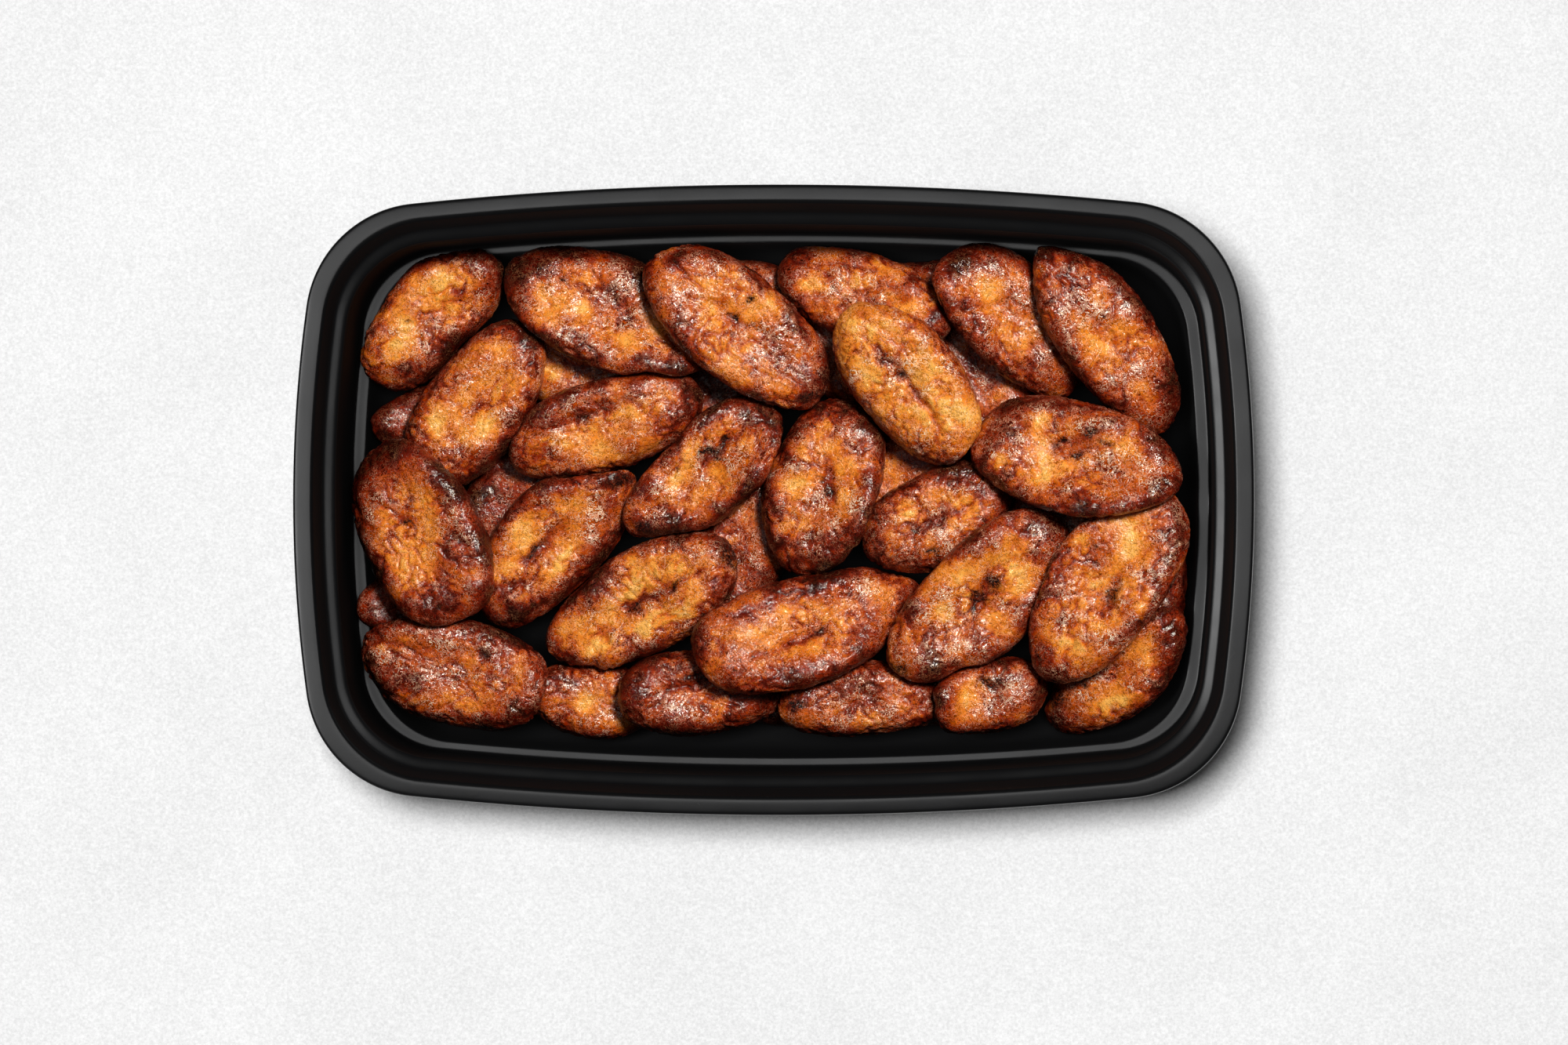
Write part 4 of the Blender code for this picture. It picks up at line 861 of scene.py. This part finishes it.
# Depths of the bumps in mm.
BLOTCH_DEPTH, GRAIN_DEPTH, COAT_GRAIN_DEPTH, WET_DEPTH = 0.20, 0.26, 0.16, 0.045
PEEL_DEPTH, PEEL_STRENGTH = 0.01, 0.5

DULL_ROUGHNESS = 0.70     # added where the tray's plastic is dull
PAPER_LEVEL = 0.88


class Shader:
    """A node material, built by naming what feeds each input."""

    def __init__(self, name):
        self.material = bpy.data.materials.new(name)
        self.material.use_nodes = True
        self.tree = self.material.node_tree
        self.surface = self.tree.nodes["Principled BSDF"]

    def put(self, socket, value):
        """Feeds an input with another node's output, or sets it."""
        if isinstance(value, bpy.types.NodeSocket):
            self.tree.links.new(value, socket)
        else:
            socket.default_value = value

    def node(self, kind, inputs, output=0, **settings):
        """Adds a node with these inputs and settings and gives one of its outputs."""
        item = self.tree.nodes.new(kind)
        for key, value in settings.items():
            setattr(item, key, value)
        for key, value in inputs.items():
            self.put(item.inputs[key], value)
        return item.outputs[output]

    def noise(self, cell, detail, rough=0.5, distort=0.0):
        """Noise with cells of the given size in mm."""
        where = self.node("ShaderNodeTexCoord", {}, "Object")
        inputs = {"Vector": where, "Scale": 1.0 / (cell * MM), "Detail": detail,
                  "Roughness": rough, "Distortion": distort}
        return self.node("ShaderNodeTexNoise", inputs, "Fac")

    def spread(self, value, low, high, to_low=0.0, to_high=1.0):
        """Takes the value from one range to another, and no further."""
        return self.node("ShaderNodeMapRange", {0: value, 1: low, 2: high, 3: to_low, 4: to_high})

    def math(self, operation, a, b=0.0, clamp=False):
        """Adds a node that works out one operation on a and b."""
        return self.node("ShaderNodeMath", {0: a, 1: b}, operation=operation, use_clamp=clamp)

    def band(self, value, centre, half):
        """1 where the value is close to the centre, falling to 0 at half a width away."""
        away = self.math("ABSOLUTE", self.math("SUBTRACT", value, centre))
        return self.spread(away, half, BAND_CORE * half)

    def mix(self, factor, a, b):
        """Colour a where the factor is 0 and colour b where it is 1."""
        item = self.tree.nodes.new("ShaderNodeMix")
        item.data_type = "RGBA"
        for socket, value in ((0, factor), (6, a), (7, b)):
            self.put(item.inputs[socket], value)
        return item.outputs[2]

    def ramp(self, value, stops):
        """The colour for a value, from stops of position and colour."""
        item = self.tree.nodes.new("ShaderNodeValToRGB")
        scale = item.color_ramp
        while len(scale.elements) < len(stops):
            scale.elements.new(0.5)
        for element, (position, colour) in zip(scale.elements, stops):
            element.position = position
            element.color = (*colour, 1.0)
        self.put(item.inputs[0], value)
        return item.outputs[0]

    def attribute(self, name):
        """A vertex attribute of the mesh."""
        return self.node("ShaderNodeAttribute", {}, "Fac", attribute_name=name)

    def bump(self, height, depth, under=None, strength=1.0):
        """A bump of this depth in mm, over another bump if one is given."""
        inputs = {"Height": height, "Distance": depth * MM, "Strength": strength}
        if under is not None:
            inputs["Normal"] = under
        return self.node("ShaderNodeBump", inputs)

    def set(self, **inputs):
        """Sets or feeds inputs of the surface, named with _ for a space."""
        for key, value in inputs.items():
            self.put(self.surface.inputs[key.replace("_", " ")], value)


def plantain(name, shift):
    """Caramelised plantain: browned skin with fine wrinkled grain and a thin syrupy glaze, with painted
    glints and painted crease shade drawn into its colour.
    """
    skin = Shader(name)
    brown = skin.attribute("brown")
    char = skin.attribute("char")
    shine = skin.attribute("shine")
    blotch = skin.noise(*BLOTCH)
    pores = skin.noise(*PORES)
    grain = skin.noise(*GRAIN)
    low, high, paler, darker = TONE_BY_BLOTCH
    uneven = skin.spread(blotch, low, high, paler + shift, darker + shift)
    colour = skin.ramp(skin.math("ADD", brown, uneven, clamp=True), BROWNING)
    # Painted shade in fine creases of the grain, stronger on browner skin.
    strength = skin.spread(brown, *CREASE_SHADE_BY_BROWN)
    crease_shade = skin.math("MULTIPLY", skin.band(grain, *CREASE_SHADE_BAND), strength)
    colour = skin.mix(crease_shade, colour, CREASE_SHADE_COLOUR)
    # Painted glints: pale painted highlights along a band of the grain, more where the skin is glazed
    # and in clusters, fewer on dark skin.
    glints = skin.math("MULTIPLY", skin.band(grain, *GLINT_BAND), skin.spread(shine, *GLINTS_BY_SHINE))
    # A denser veil of painted glints, pale painted highlights, where the glaze is thick.
    glint_veil = skin.math("MULTIPLY", skin.band(grain, *GLINT_VEIL_BAND), skin.spread(shine, *GLINT_VEIL_BY_SHINE))
    clusters = skin.spread(skin.noise(*CLUSTERS), *GLINTS_BY_CLUSTER)
    glints = skin.math("MULTIPLY", skin.math("ADD", glints, glint_veil), clusters, clamp=True)
    glints = skin.math("MULTIPLY", glints, skin.spread(brown, *GLINTS_BY_BROWN))
    glint_colour = skin.mix(skin.spread(brown, *DARK_GLINTS_BY_BROWN), GLINT_COLOUR, DARK_GLINT_COLOUR)
    colour = skin.mix(glints, colour, glint_colour)
    burnt = skin.math("MULTIPLY", char, skin.spread(pores, *BURNT_BY_PORES), clamp=True)
    colour = skin.mix(burnt, colour, CHAR_COLOUR)
    swell = skin.bump(blotch, BLOTCH_DEPTH)
    relief = skin.bump(grain, GRAIN_DEPTH, swell)
    wet = skin.bump(skin.noise(*WET), WET_DEPTH, skin.bump(grain, COAT_GRAIN_DEPTH, swell))
    skin.set(Base_Color=colour, Roughness=0.5, Normal=relief, IOR=1.45, Specular_IOR_Level=0.05,
             Coat_Weight=skin.spread(shine, *COAT_BY_SHINE), Coat_Roughness=0.085, Coat_IOR=1.5,
             Coat_Normal=wet)
    return skin.material


def black_plastic():
    """Satin black moulded plastic: smooth ledges, duller upright walls and floor inside."""
    shell = Shader("tray_black")
    where = shell.node("ShaderNodeTexCoord", {}, "Object")
    normal = shell.node("ShaderNodeNewGeometry", {}, "Normal")
    height = shell.node("ShaderNodeSeparateXYZ", {0: where}, "Z")
    facing = shell.node("ShaderNodeSeparateXYZ", {0: normal}, "Z")
    outward = shell.node("ShaderNodeVectorMath", {0: where, 1: normal}, "Value", operation="DOT_PRODUCT")
    dull = shell.math("MAXIMUM", shell.spread(facing, *UPRIGHT_BY_FACING),
                      shell.spread(height, *FLOOR_BY_HEIGHT))
    dull = shell.math("MULTIPLY", dull, shell.spread(outward, *INSIDE_BY_OUTWARD))
    gloss = shell.math("ADD", shell.spread(shell.noise(*HAZE), *GLOSS_BY_HAZE),
                       shell.math("MULTIPLY", dull, DULL_ROUGHNESS))
    peel = shell.bump(shell.noise(*PEEL), PEEL_DEPTH, strength=PEEL_STRENGTH)
    shell.set(Base_Color=(0.0055, 0.0055, 0.0058, 1.0), Roughness=gloss, Normal=peel, IOR=1.22)
    return shell.material


def paper():
    """Pale textured paper."""
    sheet = Shader("floor_paper")
    grain = sheet.spread(sheet.noise(*PAPER_GRAIN), *PAPER_BY_GRAIN)
    cloud = sheet.spread(sheet.noise(*PAPER_CLOUD), *PAPER_BY_CLOUD)
    level = sheet.math("ADD", sheet.math("ADD", grain, cloud), PAPER_LEVEL)
    colour = sheet.node("ShaderNodeCombineColor", {0: level, 1: level, 2: level})
    sheet.set(Base_Color=colour, Roughness=0.9, Specular_IOR_Level=0.2)
    return sheet.material


# ---------------------------------------------------------------- stage
def add_floor():
    """A square of pale paper just under the tray."""
    corners = [(x * FLOOR_HALF, y * FLOOR_HALF, -FLOOR_DROP)
               for x, y in ((-1, -1), (1, -1), (1, 1), (-1, 1))]
    mesh = bpy.data.meshes.new("floor")
    mesh.from_pydata(corners, [], [(0, 1, 2, 3)])
    mesh.materials.append(paper())
    floor = bpy.data.objects.new("floor", mesh)
    bpy.context.scene.collection.objects.link(floor)
    return floor


def add_camera():
    """The photo's camera: almost straight above, with +Y up in the picture."""
    data = bpy.data.cameras.new("camera")
    data.lens = LENS
    data.sensor_width = SENSOR_WIDTH
    data.clip_start = CLIP_START
    camera = bpy.data.objects.new("camera", data)
    bpy.context.scene.collection.objects.link(camera)
    tilt = math.radians(CAMERA_TILT)
    back = Vector((math.sin(tilt), 0.0, math.cos(tilt)))
    up = Vector((0.0, 1.0, 0.0))
    pose = Matrix((up.cross(back), up, back)).transposed().to_4x4()
    pose.translation = Vector(CAMERA_AIM) + CAMERA_DISTANCE * back
    camera.matrix_world = pose
    bpy.context.scene.camera = camera


def add_softbox(name, place, size, power, colour):
    """A rectangular area light that points at the tray."""
    data = bpy.data.lights.new(name, "AREA")
    data.shape = "RECTANGLE"
    data.size, data.size_y = size
    data.energy = power
    data.color = colour
    light = bpy.data.objects.new(name, data)
    bpy.context.scene.collection.objects.link(light)
    light.location = place
    light.rotation_euler = (Vector(LIGHT_AIM) - Vector(place)).to_track_quat("-Z", "Y").to_euler()
    return light


def light_only(light, items):
    """Lets a light fall on these objects alone."""
    group = bpy.data.collections.new(light.name + "_falls_on")
    for item in items:
        group.objects.link(item)
    light.light_linking.receiver_collection = group


def add_world():
    """A faint even light from all round."""
    world = bpy.data.worlds.new("studio")
    world.use_nodes = True
    background = world.node_tree.nodes["Background"]
    background.inputs["Color"].default_value = (*WHITE, 1.0)
    background.inputs["Strength"].default_value = WORLD_LIGHT
    bpy.context.scene.world = world


bpy.context.scene.view_settings.view_transform = "Standard"
add_camera()
add_world()
floor = add_floor()
lights = [add_softbox(*row[:-1]) for row in SOFTBOXES]

# Each slot's material. The number makes the whole skin darker or paler.
finishes = {
    "plantain_amber": plantain("skin_amber", 0.0),
    "plantain_pale": plantain("skin_pale", -0.02),
    "plantain_dark": plantain("skin_dark", 0.04),
}
slots = {row["node"]: row["material_slot"] for row in frame["record"]["subparts"]}
slices = []
for node_name in sorted(TONES):
    piece = make_slice(node_name, finishes[slots[node_name]])
    slices.append(piece)
    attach(piece, "root")
    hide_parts(node_name)

tray = make_tray(black_plastic())
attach(tray, "root")
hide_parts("tray")

groups = {"slices": slices, "tray": [tray], "floor": [floor]}
for light, row in zip(lights, SOFTBOXES):
    light_only(light, groups[row[-1]])
